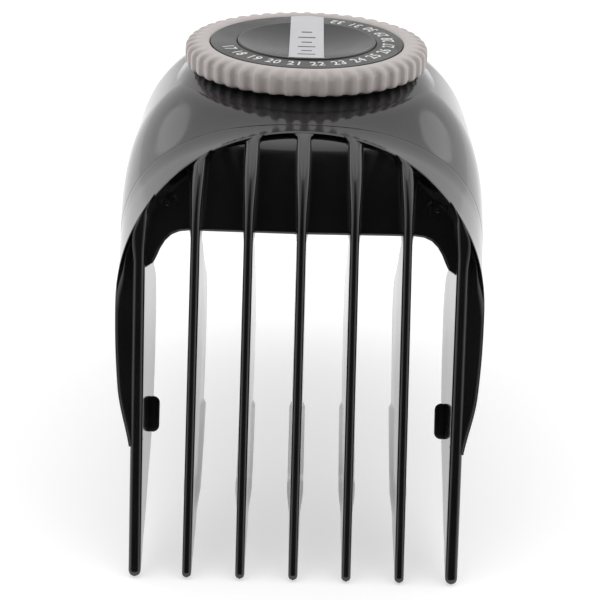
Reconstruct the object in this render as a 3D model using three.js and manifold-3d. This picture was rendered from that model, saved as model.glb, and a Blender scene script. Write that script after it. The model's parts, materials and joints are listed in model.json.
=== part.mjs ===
// Adjustable guide comb for a hair clipper: a toothed front comb and a hood carry a numbered
// dial, whose pinion drives a rack on the sliding carriage that clips on to the clipper's head.
// Millimetres, +Z up, -Y towards the teeth. Lengths below are measured in a working frame whose
// origin lies on the front plane of the teeth; the last lines centre the finished group.
import * as THREE from 'three';
import { mergeVertices } from 'three/addons/utils/BufferGeometryUtils.js';
import Module from 'manifold-3d';

const wasm = await Module();
wasm.setup();

// ---------------------------------------------------------------- driving dimensions
const COMB_LEAN = THREE.MathUtils.degToRad(25);   // the teeth lean forward from the dial's axis
const FIT_GAP = 0.05;                             // gap between pieces that are fixed together
const RUN_GAP = 0.1;                              // gap between pieces that slide or turn

const HOOD_HALF_WIDTH = 25.8;      // at the dial
const RIM_HALF_WIDTH = 23.4;       // at the front rim
const ARCH_CENTRE_Z = -1;
const RIM_ARCH_HEIGHT = 18.4;
const DIAL_ARCH_HEIGHT = 23.5;
const ARCH_POWER = 2.5;            // roundness of the arch: 2 is an ellipse
const RIM_ARCH_POWER = 2.15;       // rounder at the front rim
const HOOD_TOP_Z = 19;
const HOOD_WALL = 1.8;
const SKIRT_DEPTH = 17.5;          // side walls below the arch's centre
const SKIRT_TUCK = 1.8;            // how far the side walls curve in at the bottom
const FULL_ARCH_Y = 32;
const REAR_TAPER_Y = 46;
const HOOD_REAR_Y = 57;
const SEAM_Y = 16;                 // joint plane between comb and hood
const SEAM_GAP = 0.15;
const TONGUE_X = 11.5;             // tongues that screw the comb up under the hood
const TONGUE_TOP_Z = 13.5;
const SHELL_SCREW_Y = 19.4;

const TOOTH_COUNT = 7;
const TOOTH_PITCH = 6.75;
const OUTER_TOOTH_X = 20.65;
const TOOTH_WIDTH = 1.25;
const OUTER_TOOTH_WIDTH = 1.55;
const TOOTH_PAD_WIDTH = 2.1;       // thicker strip along the lower rear edge
const TOE_IN = 0.45;               // outer teeth close in towards their tips
const TIP_S = -35.6;               // tooth tip, along the teeth
const TOOTH_DEPTH = 17;
const WEB_BOTTOM_S = 8.7;
const WEB_FRONT = 1.5;
const WEB_BACK = 3.1;
const RIM_CURL_RADIUS = 19;        // the front plane curls back above the web's bottom edge
const CARRIAGE_PATH_Z = 2.6;       // tooth roots stay below this level, clear of the carriage
const FIRST_ROOT_Y = 8.4;
const LAST_ROOT_Y = 15.6;
const PAD_T = 11.5;                // rubber pads, on the inner faces of the outer teeth
const PAD_S = -15.8;
const PAD_X = 19.3;
const PAD_FACE_X = 19.55;
const PAD_STEM_END_X = 20.9;

const DIAL_Y = 37.6;
const RING_RADIUS = 17.3;
const RIB_COUNT = 48;
const RIB_DEPTH = 0.5;
const RING_BOTTOM_Z = 20.25;
const RING_TOP_Z = 23.4;
const SCALE_RADIUS = 13.75;
const CAP_RADIUS = 9.85;
const COLLAR_RADIUS = 16.2;
const COLLAR_TOP_Z = 19.9;
const POINTER_WIDTH = 4.9;
const POINTER_REACH = 13.6;

const AXLE_RADIUS = 2;
const HUB_RADIUS = 5;
const PINION_TEETH = 12;
const TRAVEL_PER_TURN = 24;                          // 1 mm of travel for every 15 degrees
const PITCH_RADIUS = TRAVEL_PER_TURN / (2 * Math.PI);
const RACK_PITCH = TRAVEL_PER_TURN / PINION_TEETH;
const TOOTH_ADDENDUM = 0.5;
const TOOTH_DEDENDUM = 0.75;
const DETENT_RADIUS = 8;
const DETENT_COUNT = 24;

const CARRIAGE_HALF_WIDTH = 20.4;
const CARRIAGE_FRONT_Y = 26;
const CARRIAGE_REAR_Y = 60;
const PLATE_BOTTOM_Z = 3;
const PLATE_TOP_Z = 5.2;
const RAIL_OUTER_X = 21.9;
const LATCH_Y = 62;
const LATCH_Z = 1.6;
const RACK_SCREW_X = -6.2;
const SEAT_HALF_WIDTH = 17.2;                        // the clipper's seat, proud of the edge strips
const SEAT_Z = 2.8;
const BOSS_OFFSET = 11.6;                            // bridge bosses, either side of the axle
const RAIL_SCREW_Z = 4.1;
const RAIL_SCREWS_Y = [24, 50];
const RAIL_REAR_Y = 55.5;
const RAIL_LENGTH = 37.5;
const RACK_SCREWS_Y = [36, 56];
const SCREW_HOLE_RADIUS = 0.95;
const SPRING_POST_OFFSET = 9.6;                      // posts that hold the detent spring's ends

// ---------------------------------------------------------------- finishes
const finish = (color, roughness, metalness = 0) => () =>
  new THREE.MeshStandardMaterial({ color, roughness, metalness });
const glossBlack = finish(0x17171a, 0.12);
const satinBlack = finish(0x1b1c1f, 0.45);
const warmGrey = finish(0xc9c0bd, 0.4);
const darkGrey = finish(0x3c3d41, 0.35);
const brushedAluminium = finish(0xb9bbbe, 0.35, 1);
const steel = finish(0xa6a8ab, 0.3, 1);
const acetal = finish(0xe4e2dc, 0.5);
const rubber = finish(0x101011, 0.85);

// ---------------------------------------------------------------- solids
function toSolid(geometry) {
  const bare = geometry.clone();
  bare.deleteAttribute('normal');
  bare.deleteAttribute('uv');
  const merged = mergeVertices(bare, 1e-4);
  return new wasm.Manifold(new wasm.Mesh({
    numProp: 3,
    vertProperties: new Float32Array(merged.attributes.position.array),
    triVerts: new Uint32Array(merged.index.array),
  }));
}

function toGeometry(solid) {
  const mesh = solid.getMesh();
  const geometry = new THREE.BufferGeometry();
  geometry.setAttribute('position', new THREE.BufferAttribute(mesh.vertProperties, 3));
  geometry.setIndex(new THREE.BufferAttribute(mesh.triVerts, 1));
  geometry.computeVertexNormals();
  return geometry;
}

function box(x0, x1, y0, y1, z0, z1) {
  const geometry = new THREE.BoxGeometry(x1 - x0, y1 - y0, z1 - z0);
  geometry.translate((x0 + x1) / 2, (y0 + y1) / 2, (z0 + z1) / 2);
  return toSolid(geometry);
}

// A solid of revolution about a vertical axis through (x, y), from [radius, z] points.
function turned(points, x, y, sides = 24) {
  const profile = points.map(([radius, z]) => new THREE.Vector2(radius, z));
  const geometry = new THREE.LatheGeometry(profile, sides);
  geometry.rotateX(Math.PI / 2);
  geometry.translate(x, y, 0);
  return toSolid(geometry);
}

function upright(radius, z0, z1, x, y, sides = 24) {
  return turned([[0, z0], [radius, z0], [radius, z1], [0, z1]], x, y, sides);
}

function tube(inner, outer, z0, z1, x, y, sides = 32) {
  return turned([[inner, z0], [outer, z0], [outer, z1], [inner, z1], [inner, z0]], x, y, sides);
}

function crossways(radius, x0, x1, y, z, sides = 16) {
  const geometry = new THREE.CylinderGeometry(radius, radius, x1 - x0, sides);
  geometry.rotateZ(Math.PI / 2);
  geometry.translate((x0 + x1) / 2, y, z);
  return toSolid(geometry);
}

function outline(points) {
  return new THREE.Shape(points.map(([u, v]) => new THREE.Vector2(u, v)));
}

// Prism along X from an outline of [y, z] points.
function prismAlongX(points, x0, x1) {
  const geometry = new THREE.ExtrudeGeometry(outline(points), { depth: x1 - x0, bevelEnabled: false });
  geometry.applyMatrix4(new THREE.Matrix4().makeBasis(
    new THREE.Vector3(0, 1, 0), new THREE.Vector3(0, 0, 1), new THREE.Vector3(1, 0, 0)));
  geometry.translate(x0, 0, 0);
  return toSolid(geometry);
}

// Prism along Z from an outline of [x, y] points.
function prismAlongZ(points, z0, z1) {
  const geometry = new THREE.ExtrudeGeometry(outline(points), { depth: z1 - z0, bevelEnabled: false });
  geometry.translate(0, 0, z0);
  return toSolid(geometry);
}

const union = (solids) => solids.reduce((whole, next) => whole.add(next));

// ---------------------------------------------------------------- places on the comb
// t runs back from the front plane of the teeth and s runs up along them.
const combY = (t, s) => t * Math.cos(COMB_LEAN) + s * Math.sin(COMB_LEAN);
const combZ = (t, s) => s * Math.cos(COMB_LEAN) - t * Math.sin(COMB_LEAN);
const combPoint = ([t, s]) => [combY(t, s), combZ(t, s)];
const combT = (y, z) => y * Math.cos(COMB_LEAN) - z * Math.sin(COMB_LEAN);
const combS = (y, z) => y * Math.sin(COMB_LEAN) + z * Math.cos(COMB_LEAN);

// How far the front plane has curled back at height s.
function curl(s) {
  const rise = Math.max(0, s - WEB_BOTTOM_S);
  return RIM_CURL_RADIUS - Math.sqrt(RIM_CURL_RADIUS ** 2 - rise ** 2);
}

function curledLine(depth, fromS, toS, steps) {
  const points = [];
  for (let i = 0; i <= steps; i += 1) {
    const s = fromS + (toS - fromS) * i / steps;
    points.push([depth + curl(s), s]);
  }
  return points;
}

// ---------------------------------------------------------------- hood surface
function archAt(y) {
  const widen = THREE.MathUtils.smoothstep(y, -2, FULL_ARCH_Y);
  const lift = THREE.MathUtils.smoothstep(y, 12, FULL_ARCH_Y);
  const taper = THREE.MathUtils.smoothstep(y, REAR_TAPER_Y, HOOD_REAR_Y + 6);
  return {
    power: RIM_ARCH_POWER + (ARCH_POWER - RIM_ARCH_POWER) * THREE.MathUtils.smoothstep(y, -2, 20),
    halfWidth: RIM_HALF_WIDTH + (HOOD_HALF_WIDTH - RIM_HALF_WIDTH) * widen - 2.2 * taper,
    height: RIM_ARCH_HEIGHT + (DIAL_ARCH_HEIGHT - RIM_ARCH_HEIGHT) * lift - 2.4 * taper,
  };
}

// The full arch-shaped body, drawn in by inset on every side, between two stations on Y.
function archBody(inset, y0, y1, steps) {
  const unit = [];
  const archPoints = 18;
  for (let i = 0; i <= archPoints; i += 1) {
    const angle = Math.PI * i / archPoints;
    const c = Math.cos(angle);
    const u = Math.sign(c) * Math.abs(c) ** (2 / ARCH_POWER);
    unit.push([u, Math.sin(angle) ** (2 / ARCH_POWER)]);
  }
  const skirtPoints = 3;
  for (let i = 1; i <= skirtPoints; i += 1) {
    unit.push([-1, -i / skirtPoints]);
  }
  for (let i = skirtPoints; i >= 1; i -= 1) {
    unit.push([1, -i / skirtPoints]);
  }
  const geometry = new THREE.ExtrudeGeometry(outline(unit), { depth: 1, steps, bevelEnabled: false });
  const position = geometry.attributes.position;
  for (let i = 0; i < position.count; i += 1) {
    const y = y0 + (y1 - y0) * position.getZ(i);
    const arch = archAt(y);
    const level = position.getY(i);
    const sharpen = level < 0 ? 1 : ARCH_POWER / arch.power;
    const u = Math.sign(position.getX(i)) * Math.abs(position.getX(i)) ** sharpen;
    const v = level < 0 ? level : level ** sharpen;
    const tuck = v < 0 ? SKIRT_TUCK * v * v : 0;
    const rise = v < 0 ? SKIRT_DEPTH : arch.height - inset;
    const z = Math.min(ARCH_CENTRE_Z + v * rise, HOOD_TOP_Z - inset);
    position.setXYZ(i, -u * (arch.halfWidth - inset - tuck), y, z);
  }
  return toSolid(geometry);
}

// Everything ahead of the front plane, and everything below the hood's lower edge.
const aheadOfRim = prismAlongX(
  [[-60, 60], [-60, -60], ...[[0, -40], ...curledLine(0, 4, 25, 10)].map(combPoint), [20, 60]],
  -40, 40);
const belowHood = prismAlongX(
  [[-60, -19], combPoint([0, -19.2]), [16, -11.5], [60, -6.8], [70, -60], [-60, -60]],
  -40, 40);

// ---------------------------------------------------------------- guide comb
function toothOutline() {
  const front = curledLine(0, WEB_BOTTOM_S, 19.5, 5);
  const buried = curledLine(WEB_FRONT + 0.6, 19.5, WEB_BOTTOM_S + 0.4, 3);
  const roots = [FIRST_ROOT_Y, LAST_ROOT_Y]
    .map((y) => [combT(y, CARRIAGE_PATH_Z), combS(y, CARRIAGE_PATH_Z)]);
  const fin = new THREE.SplineCurve([
    [TOOTH_DEPTH, -6.3], [15.6, -13], [13, -19], [8, -25.3], [3.6, -31.4], [1.5, -34.3],
  ].map(([t, s]) => new THREE.Vector2(t, s))).getPoints(8).map((p) => [p.x, p.y]);
  return [
    [0.15, TIP_S + 0.6], [0, TIP_S + 1.4], ...front, ...buried, [WEB_BACK, WEB_BOTTOM_S],
    ...roots, [TOOTH_DEPTH - 0.4, 4], ...fin, [0.7, TIP_S],
  ];
}

// The thicker strip along the lower rear edge of a tooth.
function padOutline() {
  return [[11.6, -12.7], [15.4, -12.7], [13, -19], [8, -25.3], [6.5, -27.4], [4.6, -26], [9, -19.5]];
}

function tooth(x) {
  const outer = Math.abs(x) > OUTER_TOOTH_X - 1;
  const half = (outer ? OUTER_TOOTH_WIDTH : TOOTH_WIDTH) / 2;
  const lean = outer ? -Math.sign(x) * TOE_IN : 0;
  const parts = [prismAlongX(toothOutline().map(combPoint), x - half, x + half)];
  if (!outer) {
    const padHalf = TOOTH_PAD_WIDTH / 2;
    parts.push(prismAlongX(padOutline().map(combPoint), x - padHalf, x + padHalf));
    const rootFront = [[0, 3], [0, WEB_BOTTOM_S], ...curledLine(0, 12, 19.5, 3)];
    const root = [...rootFront, ...curledLine(2.1, 19.5, 9, 2), [3, 4]];
    parts.push(prismAlongX(root.map(combPoint), x - half - 0.2, x + half + 0.2));
  }
  return union(parts).warp((vertex) => {
    const s = combS(vertex[1], vertex[2]);
    vertex[0] += lean * Math.max(0, (WEB_BOTTOM_S - s) / (WEB_BOTTOM_S - TIP_S));
  });
}

// The web's lower corner beside an outer tooth, from [x, s] points.
function gusset(side) {
  const corner = [[15.1, 9.4], [15.4, 8.4], [17.2, 7.9], [18.4, 6.6], [19, 5], [20.6, 3.4], [22, 9.4]];
  const depth = WEB_BACK - WEB_FRONT;
  const geometry = new THREE.ExtrudeGeometry(outline(corner), { depth, bevelEnabled: false });
  // outline x stays X, outline y becomes s, and the thickness runs back along t
  geometry.rotateX(Math.PI / 2);
  geometry.translate(0, WEB_BACK, 0);
  geometry.rotateX(-COMB_LEAN);
  const solid = toSolid(geometry);
  return side > 0 ? solid : solid.mirror([1, 0, 0]);
}

function padHole(side) {
  const [y, z] = combPoint([PAD_T, PAD_S]);
  return crossways(0.7, side > 0 ? 18 : -22.5, side > 0 ? 22.5 : -18, y, z, 12);
}

function tongue(side) {
  const x = side * TONGUE_X;
  const body = box(x - 2.5, x + 2.5, 10.2, 22, 11.6, TONGUE_TOP_Z);
  return body.subtract(upright(1, 11, 14, x, SHELL_SCREW_Y, 14));
}

function guideComb() {
  const ahead = box(-40, 40, -60, SEAM_Y - SEAM_GAP, -60, 60);
  const outerBody = archBody(0, -12, 20, 8);
  const shell = outerBody.subtract(archBody(HOOD_WALL, -12.5, 20.5, 8)).subtract(belowHood);
  const webFront = curledLine(WEB_FRONT, WEB_BOTTOM_S, 23, 5);
  const webBack = curledLine(WEB_BACK, 23, WEB_BOTTOM_S, 5);
  const slab = prismAlongX([...webFront, ...webBack].map(combPoint), -23, 23);
  const inside = archBody(HOOD_WALL / 2, -12, 20, 8);
  const web = slab.add(gusset(1)).add(gusset(-1)).intersect(inside);
  const body = shell.subtract(aheadOfRim).add(web).intersect(ahead);
  const teeth = [];
  for (let i = 0; i < TOOTH_COUNT; i += 1) {
    const place = i - (TOOTH_COUNT - 1) / 2;
    const end = Math.abs(place) === (TOOTH_COUNT - 1) / 2;
    teeth.push(tooth(end ? Math.sign(place) * OUTER_TOOTH_X : place * TOOTH_PITCH));
  }
  const tongueRoom = archBody(HOOD_WALL + 0.25, 11, 23, 4);
  const tongues = union([tongue(-1), tongue(1)]).intersect(tongueRoom);
  const aboveArch = box(-40, 40, -60, 60, ARCH_CENTRE_Z, 60).subtract(outerBody);
  const whole = union([body, union(teeth).subtract(aboveArch), tongues]);
  return whole.subtract(padHole(-1)).subtract(padHole(1)).subtract(aheadOfRim);
}

// Pill-shaped pad with a stem, pressed into the outer tooth's inner face.
function guidePad(side) {
  const pill = new THREE.CapsuleGeometry(0.95, 2.9, 4, 12);
  pill.rotateX(Math.PI / 2);
  pill.rotateX(-COMB_LEAN);
  const [y, z] = combPoint([PAD_T, PAD_S]);
  pill.translate(side * PAD_X, y, z);
  const cut = side > 0 ? box(10, PAD_FACE_X, -50, 50, -50, 50) : box(-PAD_FACE_X, -10, -50, 50, -50, 50);
  const stemStart = side > 0 ? PAD_X : -PAD_STEM_END_X;
  const stem = crossways(0.62, stemStart, stemStart + PAD_STEM_END_X - PAD_X, y, z, 12);
  return toSolid(pill).intersect(cut).add(stem);
}

// ---------------------------------------------------------------- hood
function sideBox(side, x0, x1, y0, y1, z0, z1) {
  return side > 0 ? box(x0, x1, y0, y1, z0, z1) : box(-x1, -x0, y0, y1, z0, z1);
}

function sideHole(side, radius, x0, x1, y, z) {
  return side > 0 ? crossways(radius, x0, x1, y, z, 12) : crossways(radius, -x1, -x0, y, z, 12);
}

// Bosses, posts and blocks on one side of the hood's inside.
function hoodFixings(side, room) {
  const x = side * TONGUE_X;
  const postY = DIAL_Y + side * SPRING_POST_OFFSET;
  const blocks = RAIL_SCREWS_Y.map((y) => (
    sideBox(side, RAIL_OUTER_X + FIT_GAP, 26, y - 2.4, y + 2.4, 1.8, 6.4).intersect(room)));
  return [
    upright(2.2, 9.05, 18, 0, DIAL_Y + side * BOSS_OFFSET, 20),
    box(x - 2.2, x + 2.2, 17.1, 21.6, TONGUE_TOP_Z + FIT_GAP, 17).intersect(room),
    box(8.9, 11.6, postY - 1.3, postY + 1.3, 14.2, 18),
    ...blocks,
  ];
}

// Screw holes and the detent spring's slot on one side.
function hoodHoles(side) {
  const postY = DIAL_Y + side * SPRING_POST_OFFSET;
  return [
    upright(SCREW_HOLE_RADIUS, 8, 15, 0, DIAL_Y + side * BOSS_OFFSET, 12),
    upright(SCREW_HOLE_RADIUS, 13, 15.6, side * TONGUE_X, SHELL_SCREW_Y, 12),
    box(9.85, 10.45, postY - 2, postY + 2, 14, 16.5),
    ...RAIL_SCREWS_Y.map((y) => sideHole(side, 0.85, 21, 24.1, y, RAIL_SCREW_Z)),
  ];
}

function hoodShell() {
  const outer = archBody(0, SEAM_Y, HOOD_REAR_Y, 9);
  const inner = archBody(HOOD_WALL, SEAM_Y - 0.5, HOOD_REAR_Y + 0.5, 9);
  const room = archBody(0.6, SEAM_Y, HOOD_REAR_Y, 8);
  const collar = upright(COLLAR_RADIUS, 16.5, COLLAR_TOP_Z, 0, DIAL_Y, 48);
  const solids = [outer.subtract(inner).subtract(belowHood), collar];
  const bore = upright(6.45, 10, 21, 0, DIAL_Y, 32);
  const whole = union([...solids, ...hoodFixings(-1, room), ...hoodFixings(1, room)]);
  const holes = union([bore, ...hoodHoles(-1), ...hoodHoles(1)]);
  return whole.subtract(holes).subtract(box(-40, 40, 0, SEAM_Y, -60, 60));
}

// ---------------------------------------------------------------- dial
function ribbedOutline(radius, count, depth, perRib) {
  const points = [];
  for (let i = 0; i < count * perRib; i += 1) {
    const angle = 2 * Math.PI * i / (count * perRib);
    const wave = Math.abs(Math.sin(angle * count / 2));
    const r = radius - depth * (1 - wave);
    points.push([r * Math.cos(angle), DIAL_Y + r * Math.sin(angle)]);
  }
  return points;
}

function dialRing() {
  const grip = prismAlongZ(ribbedOutline(RING_RADIUS, RIB_COUNT, RIB_DEPTH, 3), RING_BOTTOM_Z, RING_TOP_Z);
  const crown = turned([
    [0, RING_BOTTOM_Z], [RING_RADIUS + 1, RING_BOTTOM_Z], [RING_RADIUS + 1, 22], [RING_RADIUS, 22.9],
    [RING_RADIUS - 0.8, RING_TOP_Z], [0, RING_TOP_Z],
  ], 0, DIAL_Y, 72);
  const well = upright(SCALE_RADIUS + FIT_GAP, 21.8, 25, 0, DIAL_Y, 72);
  const under = upright(COLLAR_RADIUS + 0.3, 19, 20.6, 0, DIAL_Y, 48);
  const hole = upright(4.25, 19, 23, 0, DIAL_Y, 24);
  return grip.intersect(crown).subtract(union([well, under, hole]));
}

function centreCap() {
  const rim = 23.6;
  const dished = turned([
    [0, 22.1], [CAP_RADIUS - 0.2, 22.1], [CAP_RADIUS, 22.3], [CAP_RADIUS, rim - 0.25],
    [CAP_RADIUS - 0.35, rim], [7, 23.15], [4, 22.9], [0, 22.8],
  ], 0, DIAL_Y, 48);
  const slot = box(-POINTER_WIDTH / 2 - FIT_GAP, POINTER_WIDTH / 2 + FIT_GAP, 20, 60, 22.45, 25);
  return dished.subtract(slot);
}

// Strip across the dished cap; its rear end reaches over the scale and ends in a blunt point.
function pointerStrip() {
  const half = POINTER_WIDTH / 2;
  const front = DIAL_Y - CAP_RADIUS + 0.4;
  const shoulder = DIAL_Y + POINTER_REACH - 0.7;
  const plan = [
    [-half, front], [half, front], [half, shoulder], [0, DIAL_Y + POINTER_REACH], [-half, shoulder],
  ];
  const side = [
    [-9.45, 22.5], [9.45, 22.5], [9.45, 23.4], [13.6, 23.4], [13.6, 23.8], [9.6, 23.8], [7, 23.3],
    [4, 23.05], [0, 22.95], [-4, 23.05], [-7, 23.3], [-9.45, 23.65],
  ].map(([dy, z]) => [DIAL_Y + dy, z]);
  return prismAlongZ(plan, 20, 26).intersect(prismAlongX(side, -half - 1, half + 1));
}

function gearOutline() {
  const points = [];
  const step = 2 * Math.PI / PINION_TEETH;
  const rootR = PITCH_RADIUS - TOOTH_DEDENDUM;
  const tipR = PITCH_RADIUS + TOOTH_ADDENDUM;
  for (let i = 0; i < PINION_TEETH; i += 1) {
    const centre = Math.PI + step * (i + 0.5);
    const corners = [[-0.5, rootR], [-0.27, rootR], [-0.17, PITCH_RADIUS], [-0.08, tipR],
      [0.08, tipR], [0.17, PITCH_RADIUS], [0.27, rootR]];
    for (const [share, r] of corners) {
      const angle = centre + share * step;
      points.push([r * Math.cos(angle), DIAL_Y + r * Math.sin(angle)]);
    }
  }
  return points;
}

function drivePinion() {
  const gear = prismAlongZ(gearOutline(), 10.2, 14.75);
  const hub = turned([
    [0, 14.6], [4.2, 14.6], [4.2, 16.45], [HUB_RADIUS, 16.45], [HUB_RADIUS, 20.55], [4.2, 20.55],
    [4.2, 21.75], [0, 21.75],
  ], 0, DIAL_Y, 32);
  return gear.add(hub).subtract(upright(AXLE_RADIUS + 0.06, 5, 25, 0, DIAL_Y, 24));
}

function detentWheel() {
  const points = ribbedOutline(DETENT_RADIUS, DETENT_COUNT, 0.5, 4);
  return prismAlongZ(points, 14.9, 16.4).subtract(upright(4.25, 14, 17, 0, DIAL_Y, 24));
}

// Leaf spring beside the detent wheel, with a rounded nose that drops into its notches.
function detentSpring() {
  const nose = DETENT_RADIUS - 0.35;
  const lift = 0.3;
  const half = [[nose, 0], [8.6, 1.1], [9.2, 3], [10, 8], [10, 11.4]];
  const bend = [...half.slice(1).map(([x, dy]) => [x, -dy]).reverse(), ...half];
  const back = bend.map(([x, dy]) => [x + lift, dy]).reverse();
  return prismAlongZ([...bend, ...back].map(([x, dy]) => [x, DIAL_Y + dy]), 14.9, 16.3);
}

function dialAxle() {
  return turned([
    [0, 7.0], [1.2, 7.0], [1.2, 9.1], [AXLE_RADIUS, 9.1], [AXLE_RADIUS, 22.05], [0, 22.05],
  ], 0, DIAL_Y, 24);
}

// Upright slotted screw, its head at headZ.
function screw(x, y, headZ, tipZ, radius = 0.8, head = 1.7) {
  const up = Math.sign(tipZ - headZ);
  const under = headZ + up * 1.1;
  const profile = [[0, headZ], [head, headZ], [head, under], [radius, under], [radius, tipZ], [0, tipZ]];
  const body = turned(up > 0 ? profile : profile.reverse(), x, y, 14);
  const floor = headZ + up * 0.4;
  const slot = box(x - 3, x + 3, y - 0.25, y + 0.25, Math.min(headZ, floor), Math.max(headZ, floor));
  return body.subtract(slot);
}

function axleBridge() {
  const length = BOSS_OFFSET + 2.8;
  const plate = box(-3, 3.6, DIAL_Y - length, DIAL_Y + length, 7.6, 9);
  const holes = [-BOSS_OFFSET, BOSS_OFFSET]
    .map((dy) => upright(SCREW_HOLE_RADIUS, 7, 10, 0, DIAL_Y + dy, 12));
  return plate.subtract(upright(1.25, 7, 10, 0, DIAL_Y, 16)).subtract(union(holes));
}

// ---------------------------------------------------------------- carriage
function guideRail(side) {
  const lip = 18.8;
  const groove = 20.6;
  const low = PLATE_BOTTOM_Z - RUN_GAP;
  const high = PLATE_TOP_Z + RUN_GAP;
  const channel = [
    [lip, 1.8], [RAIL_OUTER_X, 1.8], [RAIL_OUTER_X, 6.4], [lip, 6.4], [lip, high], [groove, high],
    [groove, low], [lip, low],
  ];
  const geometry = new THREE.ExtrudeGeometry(outline(channel), { depth: RAIL_LENGTH, bevelEnabled: false });
  geometry.rotateX(Math.PI / 2);
  geometry.translate(0, RAIL_REAR_Y, 0);
  const bar = toSolid(geometry);
  const holes = RAIL_SCREWS_Y.flatMap((y) => [
    crossways(0.85, 20, 23, y, RAIL_SCREW_Z, 12),
    crossways(1.25, 20, 21.2, y, RAIL_SCREW_Z, 16),
  ]);
  const rail = bar.subtract(union(holes));
  return side > 0 ? rail : rail.mirror([1, 0, 0]);
}

function railScrew(side, y) {
  const head = crossways(1.15, 20.7, 21.15, y, RAIL_SCREW_Z, 14);
  const shank = crossways(0.75, 21.1, 23.9, y, RAIL_SCREW_Z, 12);
  const whole = head.add(shank);
  return side > 0 ? whole : whole.mirror([1, 0, 0]);
}

// Sliding plate with two side walls that grip the clipper's head and two ears for the latch.
function slideCarriage() {
  const rear = CARRIAGE_REAR_Y;
  const wall = [[34, 3.4], [34, -2.6], [58, -9], [rear, -9], [rear, 3.4]];
  const ridge = [[46, -5], [46, -5.8], [59, -8.6], [59, -7.4]];
  const ear = [[59, 0], [59, 5.2], [63.5, 5.2], [64.6, 3.4], [64.6, 0.2], [63.4, -0.9], [rear, -0.9]];
  const parts = [
    box(-CARRIAGE_HALF_WIDTH, CARRIAGE_HALF_WIDTH, CARRIAGE_FRONT_Y, rear, PLATE_BOTTOM_Z, PLATE_TOP_Z),
    box(-SEAT_HALF_WIDTH, SEAT_HALF_WIDTH, CARRIAGE_FRONT_Y, rear, SEAT_Z, PLATE_TOP_Z),
    prismAlongX(wall, SEAT_HALF_WIDTH, SEAT_HALF_WIDTH + 1.3),
    prismAlongX(wall, -SEAT_HALF_WIDTH - 1.3, -SEAT_HALF_WIDTH),
    prismAlongX(ridge, 16.5, 17.4),
    prismAlongX(ridge, -17.4, -16.5),
    prismAlongX(ear, 6.5, 8.5),
    prismAlongX(ear, -8.5, -6.5),
  ];
  const pinHole = crossways(1, -9, 9, LATCH_Y, LATCH_Z, 16);
  return union(parts).subtract(pinHole).subtract(union(RACK_SCREWS_Y.map(rackScrewHole)));
}

function rackScrewHole(y) {
  const shank = upright(0.85, 2, 6, RACK_SCREW_X, y, 12);
  return shank.add(upright(1.8, 2, PLATE_BOTTOM_Z + 1.25, RACK_SCREW_X, y, 16));
}

function driveRack() {
  const base = -PITCH_RADIUS - TOOTH_DEDENDUM - 0.05;
  const pitch = -PITCH_RADIUS - 0.05;
  const tip = pitch + TOOTH_ADDENDUM;
  const back = -7.8;
  const points = [[back, 33], [base, 33]];
  for (let i = -2; i <= 10; i += 1) {
    const y = DIAL_Y + i * RACK_PITCH;
    const half = [[tip, 0.08], [pitch, 0.17], [base, 0.27]];
    const corners = [...half.map(([x, share]) => [x, -share]).reverse(), ...half];
    points.push(...corners.map(([x, share]) => [x, y + share * RACK_PITCH]));
  }
  points.push([base, 59], [back, 59]);
  const holes = RACK_SCREWS_Y.map((y) => upright(0.85, 4, 9.5, RACK_SCREW_X, y, 12));
  return prismAlongZ(points, PLATE_TOP_Z + FIT_GAP, 13).subtract(union(holes));
}

// Latch with a thumb tab at the back and a hooked arm that holds the clipper.
function releaseLatch() {
  const tab = prismAlongX([[61.2, 0.6], [69.5, 1.2], [69.9, 1.8], [69.5, 2.6], [61.2, 2.9]], -6.2, 6.2);
  const hub = crossways(2, -6.2, 2, LATCH_Y, LATCH_Z, 20);
  const arm = prismAlongX([
    [61, 1], [61, -8.2], [59.4, -8.2], [59.4, -9], [61, -10], [62.6, -10], [62.8, 1],
  ], -6.2, 2);
  const springRoom = crossways(2.2, 2.05, 6.4, LATCH_Y, LATCH_Z, 20);
  const pinHole = crossways(1.03, -9, 9, LATCH_Y, LATCH_Z, 16);
  return union([tab, hub, arm]).subtract(springRoom).subtract(pinHole);
}

function latchSpring() {
  const turns = 3;
  const perTurn = 10;
  const coilRadius = 1.5;
  const points = [];
  for (let i = 0; i <= turns * perTurn; i += 1) {
    const angle = 2 * Math.PI * i / perTurn;
    const x = 2.7 + 3 * i / (turns * perTurn);
    const y = LATCH_Y + coilRadius * Math.cos(angle);
    points.push(new THREE.Vector3(x, y, LATCH_Z + coilRadius * Math.sin(angle)));
  }
  const extrudePath = new THREE.CatmullRomCurve3(points);
  const wire = new THREE.Shape();
  wire.absarc(0, 0, 0.28, 0, 2 * Math.PI, false);
  const options = { steps: turns * perTurn, curveSegments: 3, extrudePath, bevelEnabled: false };
  return toSolid(new THREE.ExtrudeGeometry(wire, options));
}

// ---------------------------------------------------------------- assembly
const clipperComb = new THREE.Group();

function place(name, solid, material) {
  const mesh = new THREE.Mesh(toGeometry(solid), material());
  mesh.name = name;
  clipperComb.add(mesh);
}

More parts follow.
